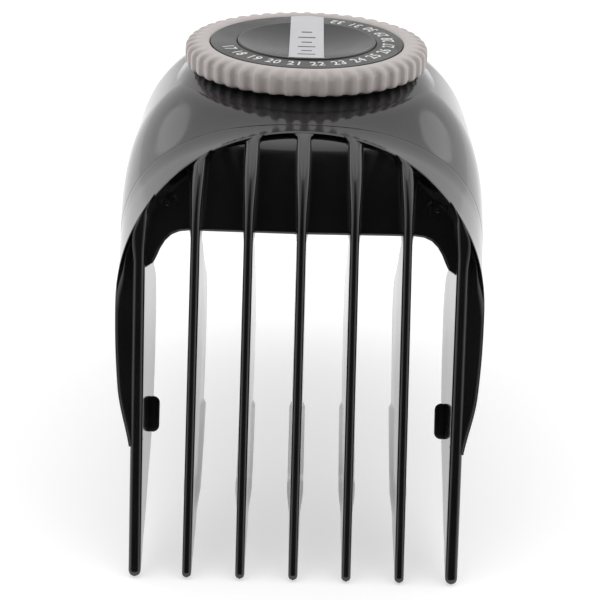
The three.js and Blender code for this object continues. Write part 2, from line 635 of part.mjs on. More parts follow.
place('guide_comb', guideComb(), glossBlack);
place('left_guide_pad', guidePad(-1), rubber);
place('right_guide_pad', guidePad(1), rubber);
place('hood_shell', hoodShell(), glossBlack);
place('left_shell_screw', screw(-TONGUE_X, SHELL_SCREW_Y, 10.45, 15.3), steel);
place('right_shell_screw', screw(TONGUE_X, SHELL_SCREW_Y, 10.45, 15.3), steel);
place('bearing_bush', tube(HUB_RADIUS + 0.06, 6.4, 16.6, COLLAR_TOP_Z, 0, DIAL_Y, 32), acetal);
place('wave_washer', tube(7, 9.4, 19.95, 20.5, 0, DIAL_Y, 32), steel);
place('dial_ring', dialRing(), warmGrey);
place('scale_ring', tube(CAP_RADIUS + RUN_GAP, SCALE_RADIUS, 21.85, 23.25, 0, DIAL_Y, 72), satinBlack);
place('drive_pinion', drivePinion(), acetal);
place('detent_wheel', detentWheel(), acetal);
place('detent_spring', detentSpring(), steel);
place('dial_axle', dialAxle(), steel);
place('centre_cap', centreCap(), darkGrey);
place('pointer_strip', pointerStrip(), brushedAluminium);
place('axle_bridge', axleBridge(), steel);
place('front_bridge_screw', screw(0, DIAL_Y - BOSS_OFFSET, 6.45, 13.5), steel);
place('rear_bridge_screw', screw(0, DIAL_Y + BOSS_OFFSET, 6.45, 13.5), steel);
place('axle_clip', tube(1.25, 2.4, 7.0, 7.55, 0, DIAL_Y, 20), steel);
place('left_guide_rail', guideRail(-1), acetal);
place('right_guide_rail', guideRail(1), acetal);
place('left_front_rail_screw', railScrew(-1, RAIL_SCREWS_Y[0]), steel);
place('left_rear_rail_screw', railScrew(-1, RAIL_SCREWS_Y[1]), steel);
place('right_front_rail_screw', railScrew(1, RAIL_SCREWS_Y[0]), steel);
place('right_rear_rail_screw', railScrew(1, RAIL_SCREWS_Y[1]), steel);
place('slide_carriage', slideCarriage(), satinBlack);
place('drive_rack', driveRack(), acetal);
place('front_rack_screw', screw(RACK_SCREW_X, RACK_SCREWS_Y[0], PLATE_BOTTOM_Z + 0.1, 9), steel);
place('rear_rack_screw', screw(RACK_SCREW_X, RACK_SCREWS_Y[1], PLATE_BOTTOM_Z + 0.1, 9), steel);
place('release_latch', releaseLatch(), satinBlack);
place('latch_pin', crossways(0.95, -8.5, 8.5, LATCH_Y, LATCH_Z, 16), steel);
place('latch_spring', latchSpring(), steel);

// Centre the group over its footprint, with its lowest point at zero.
const bounds = new THREE.Box3().setFromObject(clipperComb);
const middle = bounds.getCenter(new THREE.Vector3());
clipperComb.position.set(-middle.x, -middle.y, -bounds.min.z);

export default clipperComb;
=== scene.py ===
"""Looks of an adjustable guide comb for a hair clipper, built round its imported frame.

Lengths in the classes are millimetres in a working frame whose origin lies on the front plane of
the teeth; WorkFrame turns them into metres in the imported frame.
"""

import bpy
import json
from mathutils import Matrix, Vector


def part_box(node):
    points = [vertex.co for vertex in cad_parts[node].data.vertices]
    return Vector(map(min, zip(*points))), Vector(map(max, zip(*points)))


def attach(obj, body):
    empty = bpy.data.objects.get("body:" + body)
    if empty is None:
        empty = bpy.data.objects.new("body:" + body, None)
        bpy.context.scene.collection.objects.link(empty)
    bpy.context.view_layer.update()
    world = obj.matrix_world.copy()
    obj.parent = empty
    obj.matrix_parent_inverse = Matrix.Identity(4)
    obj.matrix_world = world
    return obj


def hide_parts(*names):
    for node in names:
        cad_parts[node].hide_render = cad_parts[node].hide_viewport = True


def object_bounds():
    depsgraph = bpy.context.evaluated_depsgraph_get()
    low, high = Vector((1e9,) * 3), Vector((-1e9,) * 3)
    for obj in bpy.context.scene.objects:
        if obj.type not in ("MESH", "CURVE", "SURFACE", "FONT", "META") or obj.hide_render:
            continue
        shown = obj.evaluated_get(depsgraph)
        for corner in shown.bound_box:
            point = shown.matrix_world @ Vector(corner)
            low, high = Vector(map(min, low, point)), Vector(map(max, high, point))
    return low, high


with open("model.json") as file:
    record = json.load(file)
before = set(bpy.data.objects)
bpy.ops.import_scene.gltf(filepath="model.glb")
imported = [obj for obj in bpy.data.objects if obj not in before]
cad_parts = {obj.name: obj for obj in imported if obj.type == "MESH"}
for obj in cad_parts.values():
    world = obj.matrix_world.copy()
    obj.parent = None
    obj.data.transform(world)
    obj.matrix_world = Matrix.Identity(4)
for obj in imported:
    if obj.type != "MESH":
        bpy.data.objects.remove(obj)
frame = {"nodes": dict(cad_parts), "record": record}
cad_bounds = [list(corner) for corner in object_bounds()]

import json
import logging
import math
from dataclasses import dataclass, field
from enum import Enum
from typing import Callable, ClassVar, Sequence

import bmesh
import bpy
from mathutils import Matrix, Vector

log = logging.getLogger("clipper_comb")

MM = 0.001
COMB_LEAN = math.radians(25)
LEAN_COS, LEAN_SIN = math.cos(COMB_LEAN), math.sin(COMB_LEAN)
Mapping = Callable[[float, float], Vector]


class Body(Enum):
    """The moving bodies of the comb."""

    HOUSING = "housing"
    DIAL = "dial"
    CARRIAGE = "carriage"
    LATCH = "latch"


class Slot(Enum):
    """The record's material slots."""

    GLOSS_BLACK = "gloss_black_plastic"
    SATIN_BLACK = "satin_black_plastic"
    WARM_GREY = "warm_grey_plastic"
    DARK_GREY = "dark_grey_satin"
    ALUMINIUM = "brushed_aluminium"
    RUBBER = "black_rubber"
    ACETAL = "natural_acetal"
    SPRING_STEEL = "spring_steel"
    SCREW = "zinc_screw"


# ---- places


def clamp(value: float, low: float = 0.0, high: float = 1.0) -> float:
    """Keep a value between two limits."""
    return max(low, min(high, value))


def smoothstep(value: float, low: float, high: float) -> float:
    """Ease from 0 at low to 1 at high."""
    share = clamp((value - low) / (high - low))
    return share * share * (3 - 2 * share)


def mix(first: float, second: float, share: float) -> float:
    """Blend two values."""
    return first + (second - first) * share


def soft_min(first: float, second: float, width: float) -> float:
    """The lower of two values, rounded over where they are about equal."""
    share = clamp(0.5 + 0.5 * (second - first) / width)
    return mix(second, first, share) - width * share * (1 - share)


def soft_max(first: float, second: float, width: float) -> float:
    """The higher of two values, rounded over where they are about equal."""
    return -soft_min(-first, -second, width)


def bisect(low: float, high: float, steps: int, is_low: Callable[[float], bool]
           ) -> tuple[float, float]:
    """Close two limits in on the place where is_low turns false.

    Args:
        low: a place where it is true.
        high: a place where it is false.
        steps: how many times to halve the gap.
        is_low: the test.

    Returns:
        The closed-in limits.
    """
    for _ in range(steps):
        middle = (low + high) / 2
        if is_low(middle):
            low = middle
        else:
            high = middle
    return low, high


def comb_yz(t: float, s: float) -> tuple[float, float]:
    """Turn depth t behind the tooth fronts and height s along them into y and z."""
    return t * LEAN_COS + s * LEAN_SIN, s * LEAN_COS - t * LEAN_SIN


def comb_ts(y: float, z: float) -> tuple[float, float]:
    """Turn y and z into depth behind the tooth fronts and height along them."""
    return y * LEAN_COS - z * LEAN_SIN, y * LEAN_SIN + z * LEAN_COS


@dataclass(frozen=True)
class WorkFrame:
    """Places working-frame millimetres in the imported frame.

    Attributes:
        origin: the working frame's origin, in metres.
    """

    origin: Vector

    def point(self, x: float, y: float, z: float) -> Vector:
        """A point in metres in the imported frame."""
        return self.origin + Vector((x, y, z)) * MM


def find_work_frame() -> WorkFrame:
    """Read the working frame's origin off the dial ring, whose place in it is known.

    Returns:
        The working frame.
    """
    low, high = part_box("dial_ring")
    centre = (low + high) / 2
    return WorkFrame(Vector((centre.x, centre.y - Dial.centre_y * MM, low.z - Dial.bottom * MM)))


# ---- mesh helpers


def sheet(columns: int, rows: int, mapping: Mapping) -> bmesh.types.BMesh:
    """A grid whose points are moved to where mapping puts them.

    Args:
        columns: cells along the first parameter.
        rows: cells along the second parameter.
        mapping: gives the place of each pair of parameters from 0 to 1.

    Returns:
        The mapped mesh.
    """
    bm = bmesh.new()
    bmesh.ops.create_grid(bm, x_segments=columns, y_segments=rows, size=0.5)
    for vert in bm.verts:
        vert.co = mapping(clamp(vert.co.x + 0.5), clamp(vert.co.y + 0.5))
    return bm


def turned(profile: Sequence[tuple[float, float]], centre: Vector, steps: int) -> bmesh.types.BMesh:
    """Spin a closed profile of radius and height, in millimetres, round a vertical axis.

    Args:
        profile: (radius, height) corners; the first is joined to the last.
        centre: the axis's place at height zero, in metres.
        steps: segments of the full turn.

    Returns:
        A closed mesh of revolution.
    """
    bm = bmesh.new()
    verts = [bm.verts.new((radius * MM, 0, height * MM)) for radius, height in profile]
    edges = [bm.edges.new((a, b)) for a, b in zip(verts, verts[1:] + verts[:1])
             if a.co.x > 1e-9 or b.co.x > 1e-9]
    bmesh.ops.spin(bm, geom=verts + edges, cent=(0, 0, 0), axis=(0, 0, 1), dvec=(0, 0, 0),
                   angle=math.tau, steps=steps, use_merge=True, use_duplicate=False)
    bmesh.ops.remove_doubles(bm, verts=bm.verts, dist=1e-7)
    bmesh.ops.recalc_face_normals(bm, faces=bm.faces)
    bmesh.ops.translate(bm, verts=bm.verts, vec=centre)
    return bm


def round_edges(bm: bmesh.types.BMesh, edges: Sequence[bmesh.types.BMEdge], radius: float,
                segments: int) -> None:
    """Round some edges of a mesh; radius in millimetres."""
    bmesh.ops.bevel(bm, geom=edges, offset=radius * MM, segments=segments, profile=0.5,
                    affect="EDGES", material=-1)


def rounded_block(low: Vector, high: Vector, radius: float, segments: int = 3) -> bmesh.types.BMesh:
    """A box with rounded edges, between two corners in metres.

    Args:
        low: the lowest corner.
        high: the highest corner.
        radius: of the edges, in millimetres.
        segments: faces across each rounding.

    Returns:
        A closed mesh.
    """
    bm = bmesh.new()
    bmesh.ops.create_cube(bm, size=1)
    bmesh.ops.scale(bm, verts=bm.verts, vec=high - low)
    bmesh.ops.translate(bm, verts=bm.verts, vec=(low + high) / 2)
    round_edges(bm, list(bm.edges), radius, segments)
    return bm


def post(centre: Vector, radius: float, height: float, rounding: float = 0.2) -> bmesh.types.BMesh:
    """An upright round post standing on centre; sizes in millimetres.

    Args:
        centre: the middle of its foot, in metres.
        radius: of the post.
        height: of the post.
        rounding: radius of its two rims.

    Returns:
        A closed mesh.
    """
    bm = bmesh.new()
    bmesh.ops.create_cone(bm, cap_ends=True, segments=40, radius1=radius * MM, radius2=radius * MM,
                          depth=height * MM)
    rims = [edge for edge in bm.edges if abs(edge.verts[0].co.z - edge.verts[1].co.z) < 1e-9]
    round_edges(bm, rims, rounding, 2)
    bmesh.ops.translate(bm, verts=bm.verts, vec=centre + Vector((0, 0, height * MM / 2)))
    return bm


def absorb(target: bmesh.types.BMesh, *others: bmesh.types.BMesh) -> None:
    """Move the meshes of others into target.

    Args:
        target: the mesh that grows.
        others: meshes to move, which are freed.
    """
    for other in others:
        spare = bpy.data.meshes.new("spare")
        other.to_mesh(spare)
        other.free()
        target.from_mesh(spare)
        bpy.data.meshes.remove(spare)


def closed_sheets(columns: int, rows: int, first: Mapping, second: Mapping) -> bmesh.types.BMesh:
    """Close the gap round two mapped sheets, which makes one solid of them.

    Args:
        columns: cells along the first parameter.
        rows: cells along the second parameter.
        first: places the one sheet.
        second: places the other sheet.

    Returns:
        A closed mesh.
    """
    bm = sheet(columns, rows, first)
    absorb(bm, sheet(columns, rows, second))
    bmesh.ops.bridge_loops(bm, edges=[edge for edge in bm.edges if edge.is_boundary])
    bmesh.ops.recalc_face_normals(bm, faces=bm.faces)
    return bm


def add_object(name: str, data: bpy.types.ID) -> bpy.types.Object:
    """Put an object with its data in the scene.

    Args:
        name: the object's name.
        data: its mesh, light, camera or curve.

    Returns:
        The new object.
    """
    thing = bpy.data.objects.new(name, data)
    bpy.context.scene.collection.objects.link(thing)
    return thing


def add_bevel(piece: bpy.types.Object, width: float, segments: int = 2, angle: float = 40) -> None:
    """Round a piece's sharp edges with a live modifier; width in millimetres.

    Args:
        piece: the piece to round.
        width: of the rounding.
        segments: faces across it.
        angle: edges sharper than this many degrees are rounded.
    """
    bevel = piece.modifiers.new("Edge rounding", "BEVEL")
    bevel.width = width * MM
    bevel.segments = segments
    bevel.limit_method = "ANGLE"
    bevel.angle_limit = math.radians(angle)
    bevel.use_clamp_overlap = True
    bevel.harden_normals = True


# ---- finishes


Inputs = dict[str | int, object]


class Nodes:
    """Short calls for building a node tree."""

    def __init__(self, tree: bpy.types.NodeTree) -> None:
        """Start on a tree."""
        self.tree = tree

    def add(self, kind: str, inputs: Inputs | None = None, **settings: object) -> bpy.types.Node:
        """Add a node.

        Args:
            kind: the node's type, without its ShaderNode prefix.
            inputs: what goes into its inputs: a socket is linked, anything else is set.
            settings: its properties.

        Returns:
            The new node.
        """
        node = self.tree.nodes.new("ShaderNode" + kind)
        for key, value in settings.items():
            setattr(node, key, value)
        self.feed(node, inputs or {})
        return node

    def feed(self, node: bpy.types.Node, inputs: Inputs) -> None:
        """Link sockets to a node's inputs, or set them.

        Args:
            node: the node to feed.
            inputs: a socket or a value for each input.
        """
        for key, value in inputs.items():
            if isinstance(value, bpy.types.NodeSocket):
                self.tree.links.new(value, node.inputs[key])
            else:
                node.inputs[key].default_value = value


def new_group(name: str, inputs: dict[str, float], outputs: dict[str, str]
              ) -> tuple[bpy.types.NodeTree, Nodes, bpy.types.Node, bpy.types.Node]:
    """Start a shader node group with float inputs and typed outputs.

    Args:
        name: the group's name.
        inputs: each input with its default.
        outputs: each output with its socket type.

    Returns:
        The group, its node builder, and its input and output nodes.
    """
    group = bpy.data.node_groups.new(name, "ShaderNodeTree")
    for label, value in inputs.items():
        socket = group.interface.new_socket(label, in_out="INPUT", socket_type="NodeSocketFloat")
        socket.default_value = value
    for label, kind in outputs.items():
        group.interface.new_socket(label, in_out="OUTPUT", socket_type=kind)
    start = group.nodes.new("NodeGroupInput")
    return group, Nodes(group), start, group.nodes.new("NodeGroupOutput")


def build_bump_group(name: str, stretch: tuple[float, float, float], roughness: float
                     ) -> bpy.types.NodeTree:
    """Fine noise as a bumped normal.

    Args:
        name: the group's name.
        stretch: scales of the pattern; a small one draws it out into lines along that axis.
        roughness: how strong the noise's finer layers are.

    Returns:
        The group.
    """
    group, nodes, start, end = new_group(
        name, {"Scale": 4000, "Strength": 0.1, "Distance": 0.00002}, {"Normal": "NodeSocketVector"})
    given = start.outputs
    place = nodes.add("TexCoord").outputs["Object"]
    drawn = nodes.add("Mapping", {"Vector": place, "Scale": stretch})
    noise = nodes.add("TexNoise", {"Vector": drawn.outputs["Vector"], "Scale": given["Scale"],
                                   "Detail": 3.0, "Roughness": roughness})
    bump = nodes.add("Bump", {"Height": noise.outputs["Fac"], "Strength": given["Strength"],
                              "Distance": given["Distance"]})
    nodes.feed(end, {"Normal": bump.outputs["Normal"]})
    return group


def build_handling_group() -> bpy.types.NodeTree:
    """Soft smudges and sparse fine hairline scratches left by handling.

    Returns:
        The group.
    """
    group, nodes, start, end = new_group(
        "Handling marks", {"Smudge Scale": 90, "Scratch Scale": 700},
        {"Smudge": "NodeSocketFloat", "Scratch": "NodeSocketFloat"})
    place = nodes.add("TexCoord").outputs["Object"]
    smudge = nodes.add("TexNoise", {"Vector": place, "Scale": start.outputs["Smudge Scale"],
                                    "Detail": 5.0, "Roughness": 0.62})
    ease = nodes.add("MapRange", {"Value": smudge.outputs["Fac"],
                                  "From Min": 0.35, "From Max": 0.7})
    stretch = nodes.add("Mapping", {"Vector": place, "Rotation": (0.3, 0.5, 0.7),
                                    "Scale": (1.0, 0.06, 0.4)})
    hair = nodes.add("TexNoise", {"Vector": stretch.outputs["Vector"], "Detail": 2.0,
                                  "Scale": start.outputs["Scratch Scale"], "Roughness": 0.5})
    keep = nodes.add("MapRange", {"Value": hair.outputs["Fac"], "From Min": 0.66, "From Max": 0.72})
    nodes.feed(end, {"Smudge": ease.outputs["Result"], "Scratch": keep.outputs["Result"]})
    return group


@dataclass(frozen=True)
class Finish:
    """A surface finish, made into one Principled material.

    Attributes:
        name: the material's name.
        colour: base colour where the surface is clean.
        worn: base colour that the smudges lead towards.
        roughness: lowest and highest roughness.
        metallic: 1 on bare metal.
        grain: scale, strength and depth in metres of the fine bump.
        specular: the shader's specular level.
        brushed: whether lines along Y take the grain's place.
    """

    name: str
    colour: tuple[float, float, float]
    worn: tuple[float, float, float]
    roughness: tuple[float, float]
    metallic: float = 0.0
    grain: tuple[float, float, float] = (4000.0, 0.1, 0.00003)
    specular: float = 0.5
    brushed: bool = False

    SCRATCH_SHARE: ClassVar[float] = 0.6

    def build(self, groups: dict[str, bpy.types.NodeTree]) -> bpy.types.Material:
        """Make the material.

        Args:
            groups: the shared node groups by short name.

        Returns:
            The finished material.
        """
        material = bpy.data.materials.new(self.name)
        material.use_nodes = True
        nodes = Nodes(material.node_tree)
        marks = nodes.add("Group", node_tree=groups["handling"]).outputs
        colour = nodes.add("Mix", {"Factor": marks["Smudge"], "A": (*self.colour, 1),
                                   "B": (*self.worn, 1)}, data_type="RGBA")
        blend = nodes.add("Math", {0: marks["Scratch"], 1: self.SCRATCH_SHARE, 2: marks["Smudge"]},
                          operation="MULTIPLY_ADD", use_clamp=True)
        rough = nodes.add("MapRange", {"Value": blend.outputs["Value"], "To Min": self.roughness[0],
                                       "To Max": self.roughness[1]})
        grain = nodes.add("Group", node_tree=groups["brush" if self.brushed else "grain"])
        nodes.feed(grain, dict(zip(("Scale", "Strength", "Distance"), self.grain)))
        shader = material.node_tree.nodes["Principled BSDF"]
        nodes.feed(shader, {
            "Metallic": self.metallic, "Specular IOR Level": self.specular,
            "Base Color": colour.outputs["Result"], "Roughness": rough.outputs["Result"],
            "Normal": grain.outputs["Normal"]})
        return material


class Palette:
    """Every finish on the comb, built once."""

    FINISHES = {
        Slot.GLOSS_BLACK: Finish("Gloss black plastic", (0.006, 0.006, 0.007),
                                 (0.009, 0.009, 0.010), (0.06, 0.14),
                                 grain=(1500, 0.02, 0.00002), specular=0.75),
        Slot.SATIN_BLACK: Finish("Satin black plastic", (0.014, 0.014, 0.016),
                                 (0.024, 0.024, 0.026), (0.32, 0.5), grain=(9000, 0.35, 0.00003)),
        Slot.WARM_GREY: Finish("Warm grey plastic", (0.43, 0.385, 0.37), (0.49, 0.45, 0.435),
                               (0.34, 0.5), grain=(6000, 0.12, 0.00003)),
        Slot.DARK_GREY: Finish("Dark grey satin", (0.013, 0.013, 0.015), (0.018, 0.018, 0.020),
                               (0.24, 0.34), grain=(12000, 0.06, 0.00001), specular=0.35),
        Slot.ALUMINIUM: Finish("Brushed aluminium", (0.52, 0.52, 0.54), (0.60, 0.60, 0.62),
                               (0.28, 0.42), metallic=1.0, grain=(9000, 0.35, 0.00002),
                               brushed=True),
        Slot.RUBBER: Finish("Black rubber", (0.006, 0.006, 0.006), (0.012, 0.012, 0.012),
                            (0.62, 0.85), grain=(8000, 0.5, 0.00004), specular=0.3),
        Slot.ACETAL: Finish("Natural acetal", (0.70, 0.69, 0.64), (0.76, 0.75, 0.71),
                            (0.3, 0.48), grain=(3000, 0.08, 0.00003)),
        Slot.SPRING_STEEL: Finish("Spring steel", (0.42, 0.42, 0.43), (0.52, 0.52, 0.53),
                                  (0.2, 0.36), metallic=1.0, grain=(5000, 0.2, 0.00002),
                                  brushed=True),
        Slot.SCREW: Finish("Zinc plated screw", (0.56, 0.57, 0.59), (0.66, 0.66, 0.67),
                           (0.22, 0.38), metallic=1.0, grain=(6000, 0.12, 0.00002)),
    }

    def __init__(self) -> None:
        """Build the shared groups, then each material."""
        groups = {"handling": build_handling_group(),
                  "grain": build_bump_group("Moulded grain", (1, 1, 1), 0.6),
                  "brush": build_bump_group("Brushed lines", (1, 0.012, 0.2), 0.7)}
        self.made = {slot: finish.build(groups) for slot, finish in self.FINISHES.items()}
        self.ink = Finish("White print", (0.78, 0.78, 0.76), (0.68, 0.68, 0.67), (0.4, 0.55),
                          grain=(9000, 0.1, 0.00001)).build(groups)
        self.dark_ink = Finish("Dark print", (0.03, 0.03, 0.035), (0.05, 0.05, 0.055), (0.4, 0.55),
                               grain=(9000, 0.1, 0.00001)).build(groups)

    def __getitem__(self, slot: Slot) -> bpy.types.Material:
        """The material of a slot."""
        return self.made[slot]


# ---- assemblies


@dataclass
class Assembly:
    """A group of pieces made in the working frame and in the palette's finishes."""

    work: WorkFrame
    palette: Palette

    def piece(self, name: str, bm: bmesh.types.BMesh, body: Body, slot: Slot,
              replaces: Sequence[str] = (), crease: float = 35,
              material: bpy.types.Material | None = None) -> bpy.types.Object:
        """Turn a mesh into a shaded piece that rides on its body.

        Args:
            name: the piece's name.
            bm: its mesh, which is freed.
            body: the body it moves with.
            slot: the record's slot it takes its finish from.
            replaces: the CAD nodes it stands for.
            crease: edges sharper than this many degrees stay crisp.
            material: its finish, where it isn't the slot's own.

        Returns:
            The new object.
        """
        mesh = bpy.data.meshes.new(name)
        bm.to_mesh(mesh)
        bm.free()
        for polygon in mesh.polygons:
            polygon.use_smooth = True
        mesh.set_sharp_from_angle(angle=math.radians(crease))
        mesh.materials.append(material or self.palette[slot])
        piece = add_object(name, mesh)
        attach(piece, body.value)
        if replaces:
            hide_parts(*replaces)
        log.info("%s: %d faces on %s", name, len(mesh.polygons), body.value)
        return piece

    def block(self, low: tuple[float, float, float], high: tuple[float, float, float],
              radius: float, segments: int = 3) -> bmesh.types.BMesh:
        """A box with rounded edges between two corners, all in working millimetres."""
        return rounded_block(self.work.point(*low), self.work.point(*high), radius, segments)


# ---- outer surface


@dataclass(frozen=True)
class ArchSurface:
    """The arch-shaped outer surface that the comb and the hood share."""

    hood_half_width: float = 25.8
    rim_half_width: float = 23.4
    centre_z: float = -1.0
    rim_height: float = 18.4
    dial_height: float = 23.5
    power: float = 2.5
    rim_power: float = 2.15
    top_z: float = 19.0
    skirt_depth: float = 17.5
    skirt_tuck: float = 1.8
    corner_tuck: float = 0.6
    full_arch_y: float = 32.0
    rear_y: float = 57.0
    taper_y: float = 46.0
    taper_end_y: float = 63.0
    rear_narrowing: float = 2.2
    rear_drop: float = 2.4
    edge_front_s: float = -19.2
    edge_seam_z: float = -11.5
    edge_rear_z: float = -6.8
    edge_rear_y: float = 60.0
    seam_y: float = 16.0
    curl_radius: float = 19.0
    web_bottom: float = 8.7
    search_front_y: float = -20.0

    def half_width(self, y: float) -> float:
        """Half the outer width at a station."""
        return mix(self.rim_half_width, self.hood_half_width, smoothstep(y, -2, self.full_arch_y)) \
            - self.rear_narrowing * smoothstep(y, self.taper_y, self.taper_end_y)

    def height(self, y: float) -> float:
        """The arch's height above its centre at a station."""
        return mix(self.rim_height, self.dial_height, smoothstep(y, 12, self.full_arch_y)) \
            - self.rear_drop * smoothstep(y, self.taper_y, self.taper_end_y)

    def lower_edge(self, y: float) -> float:
        """The height of the side walls' lower edge at a station.

        Args:
            y: the station.

        Returns:
            Its z.
        """
        front_y, front_z = comb_yz(0, self.edge_front_s)
        if y < self.seam_y:
            return mix(front_z, self.edge_seam_z, (y - front_y) / (self.seam_y - front_y))
        return mix(self.edge_seam_z, self.edge_rear_z,
                   (y - self.seam_y) / (self.edge_rear_y - self.seam_y))

    def at(self, turn: float, y: float, inset: float = 0.0) -> tuple[float, float]:
        """A point of the section at y.

        Args:
            turn: -2 at the left lower edge, -1 and 1 at the arch's ends, 2 at the right lower edge.
            y: the station.
            inset: how far inside the outer surface.

        Returns:
            Its x and z.
        """
        side = -1 if turn < 0 else 1
        wide = self.half_width(y) - inset
        if abs(turn) > 1:
            share = abs(turn) - 1
            z = mix(self.centre_z, self.lower_edge(y), share)
            depth = (self.centre_z - z) / self.skirt_depth
            tuck = self.skirt_tuck * depth ** 2
            tuck += self.corner_tuck * smoothstep(depth, 0.55, 0.94) * (1 - smoothstep(y, -8, 6))
            return side * (wide - tuck), z
        angle = abs(turn) * math.pi / 2
        roundness = 2 / mix(self.rim_power, self.power, smoothstep(y, -2, 20))
        x = wide * math.sin(angle) ** roundness
        z = self.centre_z + (self.height(y) - inset) * max(0.0, math.cos(angle)) ** roundness
        return side * x, soft_min(z, self.top_z - inset, 0.9)

    def height_at(self, x: float, y: float) -> float:
        """The surface's height above a place in plan."""
        turn, _ = bisect(0.0, 1.0, 24, lambda turn: self.at(turn, y)[0] < abs(x))
        return self.at(turn, y)[1]

    def curl(self, s: float) -> float:
        """How far the front plane has curled back at height s."""
        rise = max(0.0, s - self.web_bottom)
        return self.curl_radius - math.sqrt(max(0.0, self.curl_radius ** 2 - rise ** 2))

    def rim_height_at(self, x: float) -> float:
        """Height along the teeth at which the front plane meets the surface, x from the middle.

        Args:
            x: the distance from the middle.

        Returns:
            The height.
        """
        turn, _ = bisect(0.0, 1.0, 24,
                         lambda turn: self.at(turn, self.front_y(turn, 0, 0))[0] < abs(x))
        y = self.front_y(turn, 0, 0)
        return comb_ts(y, self.at(turn, y)[1])[1]

    def front_y(self, turn: float, inset: float, depth: float) -> float:
        """The station where the surface meets the curled front plane set back by depth.

        Args:
            turn: the place round the arch.
            inset: how far inside the outer surface.
            depth: how far behind the front plane.

        Returns:
            Its y.
        """
        def in_front(y: float) -> bool:
            """Whether the surface at y still lies in front of the plane."""
            t, s = comb_ts(y, self.at(turn, y, inset)[1])
            return t < self.curl(s) + depth

        low, high = bisect(self.search_front_y, self.seam_y + 8, 40, in_front)
        return (low + high) / 2


def even_turn(share: float, skirt: float = 0.22) -> float:
    """Spread 0 to 1 over a section: skirts at both ends, the arch between them.

    Args:
        share: the place along the section.
        skirt: the share that each skirt takes.

    Returns:
        The place round the arch, from -2 to 2.
    """
    if share < skirt:
        return -1 - (skirt - share) / skirt
    if share > 1 - skirt:
        return 1 + (share - 1 + skirt) / skirt
    return (share - 0.5) / (0.5 - skirt)


# ---- comb


